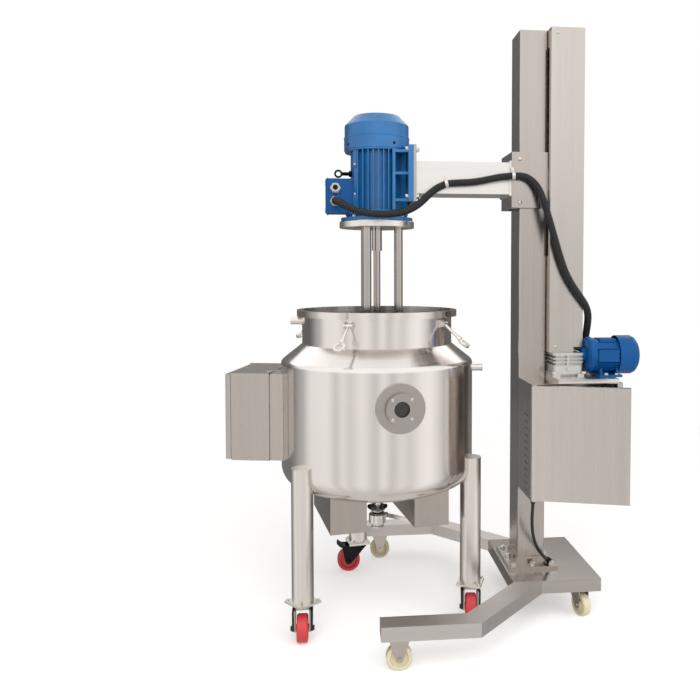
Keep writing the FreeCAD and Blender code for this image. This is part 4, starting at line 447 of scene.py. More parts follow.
def polished_vessel_steel(name, tint, roughness):
    """316L sheet, spun and polished round the axis with a 240 grit wheel: its reflections are drawn out up
    and down into bands and stay crisp sideways. Its polishing rings are 0.06 mm apart, drawn 3 mm apart,
    and the sheet waves by a hair over 120 mm."""
    material, tree, point = new_finish(name)
    noises = []
    for scale, detail in (((2.0, 2.0, 330.0), 2.0), ((8.0, 8.0, 1.6), 1.0)):
        drawn = add_node(tree, "ShaderNodeMapping", {"Vector": point, "Scale": scale})
        links = {"Vector": drawn, "Scale": 1.0, "Detail": detail}
        noises.append(add_node(tree, "ShaderNodeTexNoise", links))
    polish, sheet = noises
    bend = add_node(tree, "ShaderNodeBump", {"Height": sheet, "Strength": 0.3, "Distance": 0.0012})
    spoke = add_node(tree, "ShaderNodeVectorMath", {0: point, 1: mixing_axis}, operation="SUBTRACT")
    round_axis = add_node(tree, "ShaderNodeVectorMath", {0: UP, 1: spoke}, operation="CROSS_PRODUCT")
    return end_finish(
        material,
        shade={0: sheet, 6: toned(tint, 0.93), 7: tint},
        gloss={"Value": polish, 1: 0.3, 2: 0.7, 3: roughness - 0.03, 4: roughness + 0.04},
        surface={"Metallic": 1.0, "Anisotropic": 0.7, "Anisotropic Rotation": 0.25, "Tangent": round_axis},
        relief={"Height": polish, "Strength": 0.04, "Distance": 0.0004, "Normal": bend},
    )


def turned_steel(name, tint, roughness, axis):
    """Turned and ground bar, bolts and rods: bright, with faint rings round the axis.
    The tool's feed is 0.1 mm a turn, drawn 1 mm so that it just shows."""
    material, tree, point = new_finish(name)
    scale = [900.0 if letter == axis else 3.0 for letter in "xyz"]
    feed = add_node(tree, "ShaderNodeMapping", {"Vector": point, "Scale": scale})
    ring = add_node(tree, "ShaderNodeTexNoise", {"Vector": feed, "Scale": 1.0, "Detail": 1.0})
    return end_finish(
        material,
        shade={0: ring, 6: toned(tint, 0.94), 7: tint},
        gloss={"Value": ring, 1: 0.2, 2: 0.8, 3: roughness - 0.02, 4: roughness + 0.03},
        surface={"Metallic": 1.0},
        relief={"Height": ring, "Strength": 0.004, "Distance": 0.0003},
    )


def cast_aluminium(name, tint):
    """Die cast and shot blasted aluminium: pale, matt and finely pitted, with darker patches here and
    there. The blast pits are 0.5 mm wide, drawn 3 mm wide."""
    material, tree, point = new_finish(name)
    blast = {"Vector": point, "Scale": 330.0, "Detail": 4.0, "Roughness": 0.7}
    pits = add_node(tree, "ShaderNodeTexNoise", blast)
    patches = add_node(tree, "ShaderNodeTexNoise", {"Vector": point, "Scale": 22.0, "Detail": 2.0})
    return end_finish(
        material,
        shade={0: patches, 6: toned(tint, 0.8), 7: tint},
        gloss={"Value": pits, 3: 0.42, 4: 0.62},
        surface={"Metallic": 0.85},
        relief={"Height": pits, "Strength": 0.35, "Distance": 0.0006},
    )


def zinc_plate(name, tint):
    """Pressed steel with bright zinc plating: grey, faintly cloudy where the crystals of the coating
    differ. The crystals are 0.5 to 2 mm wide, drawn 6 mm wide."""
    material, tree, point = new_finish(name)
    crystals = add_node(tree, "ShaderNodeTexVoronoi", {"Vector": point, "Scale": 160.0, "Randomness": 1.0})
    cloud = add_node(tree, "ShaderNodeTexNoise", {"Vector": point, "Scale": 30.0, "Detail": 3.0})
    both = add_node(tree, "ShaderNodeMix", {0: 0.3, 2: cloud, 3: crystals}, data_type="FLOAT")
    return end_finish(
        material,
        shade={0: both, 6: toned(tint, 0.78), 7: tint},
        gloss={"Value": cloud, 3: 0.26, 4: 0.42},
        surface={"Metallic": 1.0},
    )


def covered_fork(name, metal, plastic, centre, turn, reach):
    """Zinc plated caster fork with black moulded covers on its outer sides, beyond a reach from the wheel's
    middle. The plastic is lightly textured, the zinc is smooth and bright."""
    material, tree, point = new_finish(name)
    back = Matrix.Rotation(-turn, 3, "Z") @ centre
    local = add_node(
        tree, "ShaderNodeMapping", {"Vector": point, "Location": -back, "Rotation": (0.0, 0.0, -turn)}
    )
    axes = add_node(tree, "ShaderNodeSeparateXYZ", {0: local})
    side = add_node(tree, "ShaderNodeMath", {0: axes.outputs["Y"]}, operation="ABSOLUTE")
    cover = add_node(tree, "ShaderNodeMath", {0: side, 1: reach}, operation="GREATER_THAN")
    bare = add_node(tree, "ShaderNodeMath", {0: 1.0, 1: cover}, operation="SUBTRACT")
    grain = add_node(tree, "ShaderNodeTexNoise", {"Vector": point, "Scale": 420.0, "Detail": 2.0})
    cloud = add_node(tree, "ShaderNodeTexNoise", {"Vector": point, "Scale": 40.0, "Detail": 2.0})
    dark = toned(metal, 0.8)
    zinc = add_node(tree, "ShaderNodeMix", {0: cloud, 6: dark, 7: metal}, data_type="RGBA")
    return end_finish(
        material,
        shade={0: cover, 6: zinc, 7: plastic},
        gloss={"Value": grain, 3: 0.28, 4: 0.4},
        surface={"Metallic": bare},
        relief={"Height": grain, "Strength": 0.1, "Distance": 0.0005},
    )


def motor_enamel(name, tint, sheen):
    """Machine enamel sprayed on cast aluminium: glossy, with the orange peel of a thick coat and a little
    wear. The peel is 1.5 mm wide, drawn 5 mm wide, and the tone varies over 60 mm."""
    material, tree, point = new_finish(name)
    peel = add_node(tree, "ShaderNodeTexNoise", {"Vector": point, "Scale": 200.0, "Detail": 1.0})
    cloud = add_node(tree, "ShaderNodeTexNoise", {"Vector": point, "Scale": 16.0, "Detail": 3.0})
    return end_finish(
        material,
        shade={0: cloud, 6: toned(tint, 0.72), 7: toned(tint, 1.12)},
        gloss={"Value": cloud, 3: 0.27, 4: 0.4},
        surface={
            "IOR": 1.5, "Specular IOR Level": sheen, "Coat Weight": sheen * 0.4, "Coat Roughness": 0.12,
        },
        relief={"Height": peel, "Strength": 0.1, "Distance": 0.0006},
    )


def moulded_plastic(name, tint, rough, grain, depth, shine=0.5):
    """Moulded nylon, polyurethane or phenolic: even colour with a faint cloud, and the fine grain of its
    mould. The mould's grain is 0.2 mm, drawn as coarse as the grain argument says, per metre."""
    material, tree, point = new_finish(name)
    spark = add_node(tree, "ShaderNodeTexNoise", {"Vector": point, "Scale": grain, "Detail": 2.0})
    cloud = add_node(tree, "ShaderNodeTexNoise", {"Vector": point, "Scale": 35.0, "Detail": 2.0})
    return end_finish(
        material,
        shade={0: cloud, 6: toned(tint, 0.82), 7: tint},
        gloss={"Value": spark, 3: rough - 0.06, 4: rough + 0.08},
        surface={"IOR": 1.5, "Specular IOR Level": shine},
        relief={"Height": spark, "Strength": depth, "Distance": 0.0005},
    )


def gland_and_eye(name, nickel, black, height):
    """Nickel plated brass cable glands, and above a height the black oxide lifting eye.
    Nickel is bright and a little warm, black oxide is dull and oily."""
    material, tree, point = new_finish(name)
    axes = add_node(tree, "ShaderNodeSeparateXYZ", {0: point})
    above = add_node(tree, "ShaderNodeMath", {0: axes.outputs["Z"], 1: height}, operation="GREATER_THAN")
    cloud = add_node(tree, "ShaderNodeTexNoise", {"Vector": point, "Scale": 90.0, "Detail": 2.0})
    dark = toned(nickel, 0.8)
    plating = add_node(tree, "ShaderNodeMix", {0: cloud, 6: dark, 7: nickel}, data_type="RGBA")
    return end_finish(
        material,
        shade={0: above, 6: plating, 7: black},
        gloss={"Value": cloud, 3: 0.2, 4: 0.34},
        surface={"Metallic": 1.0},
    )


def lever_and_knob(name, steel, black, centre, radius):
    """Satin stainless lever and stem with a black phenolic ball knob, which is what lies within a radius of
    its centre. The steel is even, with a faint cloud 10 mm wide, and the knob is smooth and glossy."""
    material, tree, point = new_finish(name)
    away = add_node(tree, "ShaderNodeVectorMath", {0: point, 1: centre}, operation="DISTANCE")
    bare = add_node(tree, "ShaderNodeMath", {0: away, 1: radius}, operation="GREATER_THAN")
    cloud = add_node(tree, "ShaderNodeTexNoise", {"Vector": point, "Scale": 100.0, "Detail": 2.0})
    satin = add_node(tree, "ShaderNodeMix", {0: cloud, 6: toned(steel, 0.8), 7: steel}, data_type="RGBA")
    return end_finish(
        material,
        shade={0: bare, 6: black, 7: satin},
        gloss={"Value": cloud, 3: 0.18, 4: 0.3},
        surface={"Metallic": bare},
    )


def sight_pane(name):
    """Toughened borosilicate glass over the inside of the vessel, tinted a dark grey-green as painted shade
    for the unlit inside: it looks nearly black and faintly green, with a trace of wiping marks."""
    material, tree, point = new_finish(name)
    wipe = add_node(tree, "ShaderNodeTexNoise", {"Vector": point, "Scale": 60.0, "Detail": 3.0})
    return end_finish(
        material,
        # Painted shade: the dark tint stands for the unlit inside of the vessel behind the glass.
        shade={0: wipe, 6: linear("#59615E"), 7: linear("#6A7370")},
        gloss={"Value": wipe, 1: 0.4, 2: 0.7, 3: 0.01, 4: 0.06},
        surface={"Transmission Weight": 0.9, "IOR": 1.47},
    )


def hose_polyamide(name, tint):
    """Corrugated polyamide conduit: charcoal, half matt, a little dusty in patches."""
    material, tree, point = new_finish(name)
    dust = add_node(tree, "ShaderNodeTexNoise", {"Vector": point, "Scale": 70.0, "Detail": 4.0})
    light = [min(1.0, c * 1.7 + 0.01) for c in tint[:3]] + [1.0]
    return end_finish(
        material,
        shade={0: dust, 6: tint, 7: light},
        gloss={"Value": dust, 3: 0.34, 4: 0.52},
        surface={"IOR": 1.53, "Specular IOR Level": 0.3},
    )


def dress(material, *names):
    """Gives CAD nodes a finish through their objects' material slots."""
    for name in names:
        node = nodes[name]
        if not node.material_slots:
            raise RuntimeError(f"{name} has no material slot")
        for slot in node.material_slots:
            slot.link = "OBJECT"
            slot.material = material


def leg_foot(azimuth):
    """Axis of one vessel leg, on the floor."""
    return polar(JACKET_RADIUS, azimuth, 0)


def knob_centre():
    """Middle of the knob at the end of the drain valve's lever."""
    turn = math.radians(LEVER_AZIMUTH)
    x = LEVER_OFFSET * math.cos(turn) + LEVER_LENGTH * math.sin(turn)
    y = LEVER_OFFSET * math.sin(turn) - LEVER_LENGTH * math.cos(turn)
    return place(x, y, joints["valve_turn"]["pos_m"][2] * 1000)


def dress_metals(shades):
    """Finishes of the bare metals, on their nodes."""
    vessel = list(shades.vessel)
    zinc = list(shades.zinc)
    column = brushed_stainless("brushed_column_sheet", list(shades.stainless), roughness=0.22, grain="z")
    dress(column, "column", "carriage")
    for name, code, roughness, grain, dressed in BRUSHED:
        dress(brushed_stainless(name, linear(code), roughness, grain), *dressed)
    wall = polished_vessel_steel("polished_vessel_steel", vessel, roughness=0.17)
    dress(wall, "jacket", "inner_vessel")
    satin = turned_steel("turned_stainless", vessel, roughness=0.24, axis="z")
    dress(
        satin, "mounting_disc", "stator_head", "mixer_rotor", "outlet_valve", "lift_screw",
        "swing_bolt_lugs",
    )
    bright = turned_steel("polished_bolt_steel", vessel, roughness=0.11, axis="z")
    dress(bright, "hose_clips", *(f"swing_bolt_{index}" for index in range(1, 5)))
    for name, code, roughness, axis, dressed in TURNED:
        dress(turned_steel(name, linear(code), roughness, axis), *dressed)
    bronze = turned_steel("turned_bronze", list(shades.bronze), roughness=0.3, axis="z")
    dress(bronze, "shaft_bush", "lift_nut")
    dress(cast_aluminium("cast_aluminium", list(shades.cast)), "lift_gearbox")
    dress(zinc_plate("bright_zinc", zinc), "fixed_caster_forks", "near_swivel_fork", "far_swivel_fork")
    for side, trail in COVERED_FORK_TRAILS.items():
        centre = leg_foot(LEG_AZIMUTHS[side])
        fork = covered_fork(
            f"{side}_fork_zinc_and_nylon", zinc, list(shades.black), centre, math.radians(trail),
            FORK_COVER_START,
        )
        dress(fork, f"{side}_caster_fork")
    nickel = linear("#C9C6C0")
    oxide = linear("#17171A")
    dress(gland_and_eye("nickel_glands_and_black_eye", nickel, oxide, EYE_START), "terminal_fittings")


def dress_coats(shades):
    """Finishes of the enamelled, moulded and glass nodes, and of the lever with its knob."""
    black = list(shades.black)
    head_coat = motor_enamel("mixing_motor_enamel", list(shades.blue), sheen=0.5)
    dress(head_coat, "mixer_motor", "mixer_motor_fan_cover")
    # Painted shade: the lift motor and the terminal box wear the same blue enamel, made deeper.
    painted_shade_coat = motor_enamel("enamel_with_painted_shade", list(shades.painted_shade_blue), sheen=0.15)
    dress(painted_shade_coat, "lift_motor", "terminal_box")
    red = moulded_plastic("red_polyurethane", list(shades.red), rough=0.3, grain=260.0, depth=0.06)
    dress(red, "left_caster_wheel", "right_caster_wheel", "rear_caster_wheel")
    cream = moulded_plastic("cream_nylon", list(shades.cream), rough=0.36, grain=260.0, depth=0.06)
    dress(cream, "near_fixed_wheel", "far_fixed_wheel", "near_swivel_wheel", "far_swivel_wheel")
    knob = moulded_plastic("black_phenolic", black, rough=0.24, grain=300.0, depth=0.04, shine=0.2)
    dress(knob, "brake_pedal", "stand_glands", "rear_caster_fork")
    for name, code, rough, grain, depth, dressed in MOULDED:
        dress(moulded_plastic(name, linear(code), rough, grain, depth), *dressed)
    dress(hose_polyamide("hose_polyamide", list(shades.hose)), "motor_hose", "hanging_hose")
    dress(sight_pane("sight_pane"), "sight_glass")
    lever = lever_and_knob("satin_lever_black_knob", list(shades.vessel), black, knob_centre(), KNOB_REACH)
    dress(lever, "valve_lever")


class MIXER_OT_finishes(bpy.types.Operator):
    """Make every finish and give it to the CAD nodes"""

    bl_idname = "mixer.finishes"
    bl_label = "Finishes"

    def execute(self, context):
        shades = context.scene.mixer_finishes
        dress_metals(shades)
        dress_coats(shades)
        return {"FINISHED"}


# Hoses and cable


def cord_line(name, route):
    """Smooth curve along a route's control points, without a bevel."""
    curve = bpy.data.curves.new(name, "CURVE")
    curve.dimensions = "3D"
    curve.resolution_u = 24
    spline = curve.splines.new("NURBS")
    spline.points.add(len(route) - 1)
    for point, co in zip(spline.points, route):
        point.co = (*co, 1.0)
    spline.order_u = 3
    spline.use_endpoint_u = True
    return add_object(name, curve)


def line_points(line):
    """Points along a curve object's own line, in order."""
    mesh = bpy.data.meshes.new_from_object(line)
    points = [vertex.co.copy() for vertex in mesh.vertices]
    bpy.data.meshes.remove(mesh)
    bpy.data.objects.remove(line)
    return points


def spaced(points, step):
    """Points a given step apart along a line of points, ends kept."""
    lengths = [0.0]
    for a, b in zip(points, points[1:]):
        lengths.append(lengths[-1] + (b - a).length)
    count = max(2, round(lengths[-1] / step))
    result = []
    index = 0
    for i in range(count + 1):
        target = lengths[-1] * i / count
        while index < len(points) - 2 and lengths[index + 1] < target:
            index += 1
        share = (target - lengths[index]) / max(lengths[index + 1] - lengths[index], 1e-9)
        result.append(points[index].lerp(points[index + 1], min(max(share, 0.0), 1.0)))
    return result


def swept_tube(name, points, radii, sides):
    """Closed round tube through points with a radius at each, on frames that don't twist."""
    verts = []
    side = (points[1] - points[0]).normalized().orthogonal().normalized()
    for i, (point, radius) in enumerate(zip(points, radii)):
        ahead = points[min(i + 1, len(points) - 1)] - points[max(i - 1, 0)]
        ahead.normalize()
        side = (side - ahead * side.dot(ahead)).normalized()
        up = ahead.cross(side)
        for k in range(sides):
            turn = 2 * math.pi * k / sides
            verts.append(point + (side * math.cos(turn) + up * math.sin(turn)) * radius)
    mesh = bpy.data.meshes.new(name)
    mesh.from_pydata(verts, [], ring_faces(len(points), sides))
    mesh.validate()
    for polygon in mesh.polygons:
        polygon.use_smooth = len(polygon.vertices) == 4
    return add_object(name, mesh)


def corrugated_hose(name, route, sizes):
    """Hose with ribs all along, on the smooth line of its route, and points along that line."""
    line = line_points(cord_line(f"{name}_line", route))
    points = spaced(line, sizes.rib_pitch / len(RIB_SHAPE))
    radius = sizes.hose_diameter / 2
    radii = [radius - sizes.rib_depth * RIB_SHAPE[i % len(RIB_SHAPE)] for i in range(len(points))]
    tube = swept_tube(name, points, radii, sizes.sides)
    tube.data.materials.append(bpy.data.materials["hose_polyamide"])
    return tube, [tuple(p) for p in spaced(line, PATH_STEP)]


class MIXER_OT_hoses(bpy.types.Operator):
    """Corrugated hoses from the mixing motor to the back of the cabinet, and the power cable"""

    bl_idname = "mixer.hoses"
    bl_label = "Hoses and cable"

    def execute(self, context):
        sizes = context.scene.mixer_hoses
        hose, path = corrugated_hose("motor_hose_ribbed", MOTOR_HOSE_ROUTE, sizes)
        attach(hose, "mixing_head")
        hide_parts("motor_hose")
        drop, path = corrugated_hose("hanging_hose_ribbed", HANGING_HOSE_ROUTE, sizes)
        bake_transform(drop)
        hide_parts("hanging_hose")
        line = line_points(cord_line("power_cable_line", POWER_CABLE_ROUTE))
        points = spaced(line, CABLE_STEP)
        radii = [sizes.cable_diameter / 2] * len(points)
        cable = swept_tube("power_cable_sheath", points, radii, sizes.sides)
        cable.data.materials.append(bpy.data.materials["cable_pvc"])
        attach(cable, "stand")
        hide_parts("power_cable")
        return {"FINISHED"}


# Bolts, screws and holes


def spots_object(name, spots):
    """Mesh of loose points, each with the direction that it faces and a size in metres."""
    mesh = bpy.data.meshes.new(name)
    mesh.from_pydata([point for point, _, _ in spots], [], [])
    facing = mesh.attributes.new("facing", "FLOAT_VECTOR", "POINT")
    facing.data.foreach_set("vector", [value for _, direction, _ in spots for value in direction])
    width = mesh.attributes.new("width", "FLOAT", "POINT")
    width.data.foreach_set("value", [size for _, _, size in spots])
    return add_object(name, mesh)


def socket_named(tree, name):
    """Identifier of an input of a node group."""
    for item in tree.interface.items_tree:
        if item.item_type == "SOCKET" and item.in_out == "INPUT" and item.name == name:
            return item.identifier
    raise RuntimeError(f"no input named {name}")


def spread_tree(name, inputs, make_shape, material):
    """Geometry Nodes group that sets one unit shape on every point, turned to its facing, at a random turn
    round it, and scaled by its width."""
    tree = bpy.data.node_groups.new(name, "GeometryNodeTree")
    tree.interface.new_socket("Points", in_out="INPUT", socket_type="NodeSocketGeometry")
    for label in inputs:
        tree.interface.new_socket(label, in_out="INPUT", socket_type="NodeSocketFloat")
    tree.interface.new_socket("Shapes", in_out="OUTPUT", socket_type="NodeSocketGeometry")
    spin_seed = 7
    entry = add_node(tree, "NodeGroupInput")
    shape = make_shape(tree, entry)
    facing = add_node(
        tree, "GeometryNodeInputNamedAttribute", {"Name": "facing"}, data_type="FLOAT_VECTOR"
    )
    width = add_node(tree, "GeometryNodeInputNamedAttribute", {"Name": "width"}, data_type="FLOAT")
    aim = add_node(tree, "FunctionNodeAlignRotationToVector", {"Vector": facing}, axis="Z")
    random = add_node(
        tree, "FunctionNodeRandomValue", {2: 0.0, 3: math.tau, "Seed": spin_seed}, data_type="FLOAT"
    )
    spin = add_node(tree, "FunctionNodeAxisAngleToRotation", {"Axis": (0.0, 0.0, 1.0), "Angle": random})
    turned = add_node(tree, "FunctionNodeRotateRotation", {0: aim, 1: spin}, rotation_space="LOCAL")
    spread = add_node(
        tree, "GeometryNodeInstanceOnPoints",
        {"Points": entry.outputs["Points"], "Instance": shape, "Rotation": turned, "Scale": width},
    )
    real = add_node(tree, "GeometryNodeRealizeInstances", {0: spread})
    coat = add_node(tree, "GeometryNodeSetMaterial", {"Geometry": real, "Material": material})
    add_node(tree, "NodeGroupOutput", {"Shapes": coat})
    return tree


def hex_head_shape(tree, entry):
    """Washer, hexagon and chamfered crown on top, one unit across flats."""
    height = entry.outputs["Head height"]
    thickness = entry.outputs["Washer thickness"]
    radius = 1 / math.sqrt(3)
    crown_radius = radius * 0.8
    crown_height = 0.07
    washer_radius = add_node(
        tree, "ShaderNodeMath", {0: entry.outputs["Washer width"], 1: 0.5}, operation="MULTIPLY"
    )
    washer_rise = add_node(tree, "ShaderNodeMath", {0: thickness, 1: 0.5}, operation="MULTIPLY")
    body_rise = add_node(
        tree, "ShaderNodeMath", {0: height, 1: 0.5, 2: thickness}, operation="MULTIPLY_ADD"
    )
    crown_rise = add_node(tree, "ShaderNodeMath", {0: height, 1: thickness}, operation="ADD")
    crown = {"Vertices": 6, "Radius Top": crown_radius, "Radius Bottom": radius, "Depth": crown_height}
    body = {"Vertices": 6, "Radius": radius, "Depth": height}
    washer = {"Vertices": 24, "Radius": washer_radius, "Depth": thickness}
    whole = add_node(tree, "GeometryNodeJoinGeometry")
    for kind, links, rise in (
        ("GeometryNodeMeshCone", crown, crown_rise),
        ("GeometryNodeMeshCylinder", body, body_rise),
        ("GeometryNodeMeshCylinder", washer, washer_rise),
    ):
        solid = add_node(tree, kind, links)
        lift = add_node(tree, "ShaderNodeCombineXYZ", {"Z": rise})
        moved = add_node(tree, "GeometryNodeTransform", {"Geometry": solid, "Translation": lift})
        tree.links.new(moved.outputs["Geometry"], whole.inputs["Geometry"])
    return whole


def round_head_shape(tree, entry):
    """Low domed screw head, one unit across."""
    ball = add_node(tree, "GeometryNodeMeshUVSphere", {"Segments": 16, "Rings": 8, "Radius": 0.5})
    flat = add_node(tree, "ShaderNodeCombineXYZ", {"X": 1.0, "Y": 1.0, "Z": entry.outputs["Head height"]})
    return add_node(tree, "GeometryNodeTransform", {"Geometry": ball, "Scale": flat})


def hole_shape(tree, entry):
    """Round hole seen as its dark mouth: a thin disc of painted shade, one unit across."""
    depth = entry.outputs["Depth"]
    return add_node(tree, "GeometryNodeMeshCylinder", {"Vertices": 12, "Radius": 0.5, "Depth": depth})


def spread_piece(name, body, spots, tree, values):
    """One plain mesh of shapes on spots, riding on a body."""
    holder = spots_object(f"{name}_spots", spots)
    modifier = holder.modifiers.new("spread", "NODES")
    modifier.node_group = tree
    for label, value in values.items():
        modifier[socket_named(tree, label)] = value
    bpy.context.view_layer.update()
    depsgraph = bpy.context.evaluated_depsgraph_get()
    mesh = bpy.data.meshes.new_from_object(holder.evaluated_get(depsgraph))
    bpy.data.objects.remove(holder)
    if not mesh.polygons:
        raise RuntimeError(f"{name} came out empty")
    mesh.name = name
    piece = add_object(name, mesh)
    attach(piece, body)


def upright_bolts(xs, ys, height, width):
    """Spots of bolts that point up, at every crossing of some x and y lines off the mixing axis."""
    return [(place(x, y, height), UP, width) for x in xs for y in ys]


def stand_bolts():
    """Hex bolts round the column's foot, on the gearbox's feet and on the lift motor's feet."""
    column_pitch = 76
    column_spread = 96
    spots = [
        (place(COLUMN_MIDDLE + x, y, FOOT_PLATE_TOP), UP, COLUMN_BOLT)
        for x in (-column_pitch, 0, column_pitch) for y in (-column_spread, 0, column_spread) if x or y
    ]
    gearbox_xs = (673, 790)
    gearbox_ys = (-156, 28)
    gearbox_foot_top = BASE_PLATE_TOP + GEARBOX_FOOT_THICKNESS
    spots += upright_bolts(gearbox_xs, gearbox_ys, gearbox_foot_top, GEARBOX_BOLT)
    low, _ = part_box("lift_motor")
    motor_left = (low.x - mixing_axis.x) * 1000
    start = motor_left + LIFT_MOTOR_NOSE + LIFT_MOTOR_SHIELD + LIFT_MOTOR_FOOT_GAP
    first_hole = 26
    second_hole = 66
    spread = 68
    motor_xs = (start + first_hole, start + second_hole)
    motor_ys = (LIFT_MOTOR_Y - spread, LIFT_MOTOR_Y + spread)
    motor_foot_top = BASE_PLATE_TOP + LIFT_MOTOR_FOOT_THICKNESS
    return spots + upright_bolts(motor_xs, motor_ys, motor_foot_top, LIFT_MOTOR_BOLT)


def head_bolts():
    """Hex bolts through the mixing motor's feet, a head on either side, and on its flange."""
    spots = []
    bolt_heights = (1616, 1794)
    bolt_sides = (-108, 108)
    plate_faces = ((112, LEFT), (143, RIGHT))
    for z in bolt_heights:
        for y in bolt_sides:
            for x, direction in plate_faces:
                spots.append((place(x, y, z), direction, ARM_BOLT))
    flange_circle = 129
    flange_top = 1541
    for turn in FOUR_ROUND:
        spots.append((polar(flange_circle, turn, flange_top), UP, FLANGE_BOLT))
    return spots


def vessel_bolts():
    """Nuts round the sight glass and bolts of the caster plates."""
    spots = []
    normal = outward(SIGHT_AZIMUTH)
    aside = outward(SIGHT_AZIMUTH + 90)
    middle = polar(JACKET_RADIUS + SIGHT_RING_FACE, SIGHT_AZIMUTH, SIGHT_HEIGHT)
    for turn in FOUR_ROUND:
        angle = math.radians(turn)
        offset = (aside * math.cos(angle) + Vector(UP) * math.sin(angle)) * SIGHT_NUT_CIRCLE
        spots.append((middle + offset, normal, SIGHT_NUT))
    plate_top = Vector((0, 0, CASTER_PLATE_TOP))
    for azimuth in LEG_AZIMUTHS.values():
        for side in FOUR_ROUND:
            corner = leg_foot(azimuth) + outward(azimuth + side) * CASTER_BOLT_CIRCLE
            spots.append((corner + plate_top, UP, CASTER_BOLT))
    return spots


def stand_screws():
    """Round headed screws at the lower and upper end of the lift screw's housing."""
    housing_front = (688, -120)
    return [(place(*housing_front, z), FRONT, HOUSING_SCREW) for z in (1040, 2247)]


def head_screws():
    """Round headed screws of the carriage, the terminal box lid and the bare plate's place."""
    spots = []
    for z in (1601, 1768):
        for y, direction in ((-CARRIAGE_HALF_DEPTH, FRONT), (CARRIAGE_HALF_DEPTH, BACK)):
            spots.append((place(CARRIAGE_SCREW_LINE, y, z), direction, CARRIAGE_SCREW))
    for y in (-46, 46):
        for z in (1570, 1676):
            spots.append((place(TERMINAL_BOX_LEFT, y, z), LEFT, LID_SCREW))
    name_plate_radius = 119
    for z in (1627, 1739):
        seat = polar(name_plate_radius, NAME_PLATE_AZIMUTH, z)
        spots.append((seat, outward(NAME_PLATE_AZIMUTH), NAME_PLATE_SCREW))
    return spots


def cover_screws():
    """Dark screws that hold the fan cover to the motor's frame."""
    cover_radius = 127
    screw_height = 1818
    turns = (-62, 28, 118, 208)
    return [(polar(cover_radius, turn, screw_height), outward(turn), FAN_COVER_SCREW) for turn in turns]


class MIXER_OT_bolts(bpy.types.Operator):
    """Hex bolts with washers and round headed screws, set by Geometry Nodes"""

    bl_idname = "mixer.bolts"
    bl_label = "Bolts and screws"

    def execute(self, context):
        sizes = context.scene.mixer_bolts
        steel = bpy.data.materials["bolt_steel"]
        black = bpy.data.materials["black_oxide_steel"]
        head = {
            "Head height": sizes.head_height,
            "Washer width": sizes.washer_width,
            "Washer thickness": sizes.washer_thickness,
        }
        hexes = spread_tree("hex_heads", list(head), hex_head_shape, steel)
        spread_piece("stand_hex_bolts", "stand", stand_bolts(), hexes, head)
        spread_piece("head_hex_bolts", "mixing_head", head_bolts(), hexes, head)
        spread_piece("vessel_hex_bolts", "vessel", vessel_bolts(), hexes, head)
        dome = {"Head height": 0.7}
        domes = spread_tree("round_heads", list(dome), round_head_shape, steel)
        spread_piece("stand_round_screws", "stand", stand_screws(), domes, dome)
        spread_piece("head_round_screws", "mixing_head", head_screws(), domes, dome)
        dark = spread_tree("dark_heads", list(dome), round_head_shape, black)
        spread_piece("head_cover_screws", "mixing_head", cover_screws(), dark, dome)
        return {"FINISHED"}


class MIXER_OT_air_holes(bpy.types.Operator):
    """Lines of air holes in the left side of the electrical cabinet, drawn as dark discs of painted shade
    """

    bl_idname = "mixer.air_holes"
    bl_label = "Air holes"

    def execute(self, context):
        sizes = context.scene.mixer_holes
        front_margin = 0.075
        top_margin = 0.125
        sink = 0.0002
        low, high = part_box("cabinet")
        spots = []
        for line in range(sizes.lines):
            for row in range(sizes.rows):
                y = low.y + front_margin + line * sizes.pitch
                z = high.z - top_margin - row * sizes.pitch
                spots.append(((mixing_axis.x + CABINET_LEFT - sink, y, z), LEFT, sizes.diameter))
        mouth = {"Depth": 0.08}
        tree = spread_tree("air_holes", list(mouth), hole_shape, bpy.data.materials["hole_shadow"])
        spread_piece("cabinet_air_holes", "stand", spots, tree, mouth)
        return {"FINISHED"}


# Black trims


def turned_solid(name, profile, base, direction):
    """Closed solid turned from a profile of (radius, height) pairs in millimetres, standing on a point."""
    up = Vector(direction).normalized()
    side = up.orthogonal().normalized()
    front = up.cross(side)
    verts = []
    for radius, height in profile:
        for k in range(TRIM_SIDES):
            turn = math.tau * k / TRIM_SIDES
            rim = (side * math.cos(turn) + front * math.sin(turn)) * radius + up * height
            verts.append(base + rim / 1000)
    mesh = bpy.data.meshes.new(name)
    mesh.from_pydata(verts, [], ring_faces(len(profile), TRIM_SIDES))
    mesh.materials.append(bpy.data.materials["black_phenolic"])
    return add_object(name, mesh)


class MIXER_OT_black_trims(bpy.types.Operator):
    """Black knobs beside the outlet's clamp and the blanking plug of the unused gland"""

    bl_idname = "mixer.black_trims"
    bl_label = "Black trims"

    def execute(self, context):
        for name, azimuth in (("left_clamp_knob", 187), ("right_clamp_knob", -5)):
            knob = turned_solid(name, KNOB_PROFILE, polar(CLAMP_KNOB_CIRCLE, azimuth, CLAMP_KNOB_SEAT), UP)
            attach(knob, "vessel")
        plug = turned_solid("gland_plug", PLUG_PROFILE, place(*GLAND_FACE), FRONT)
        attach(plug, "mixing_head")
        return {"FINISHED"}


# Stage


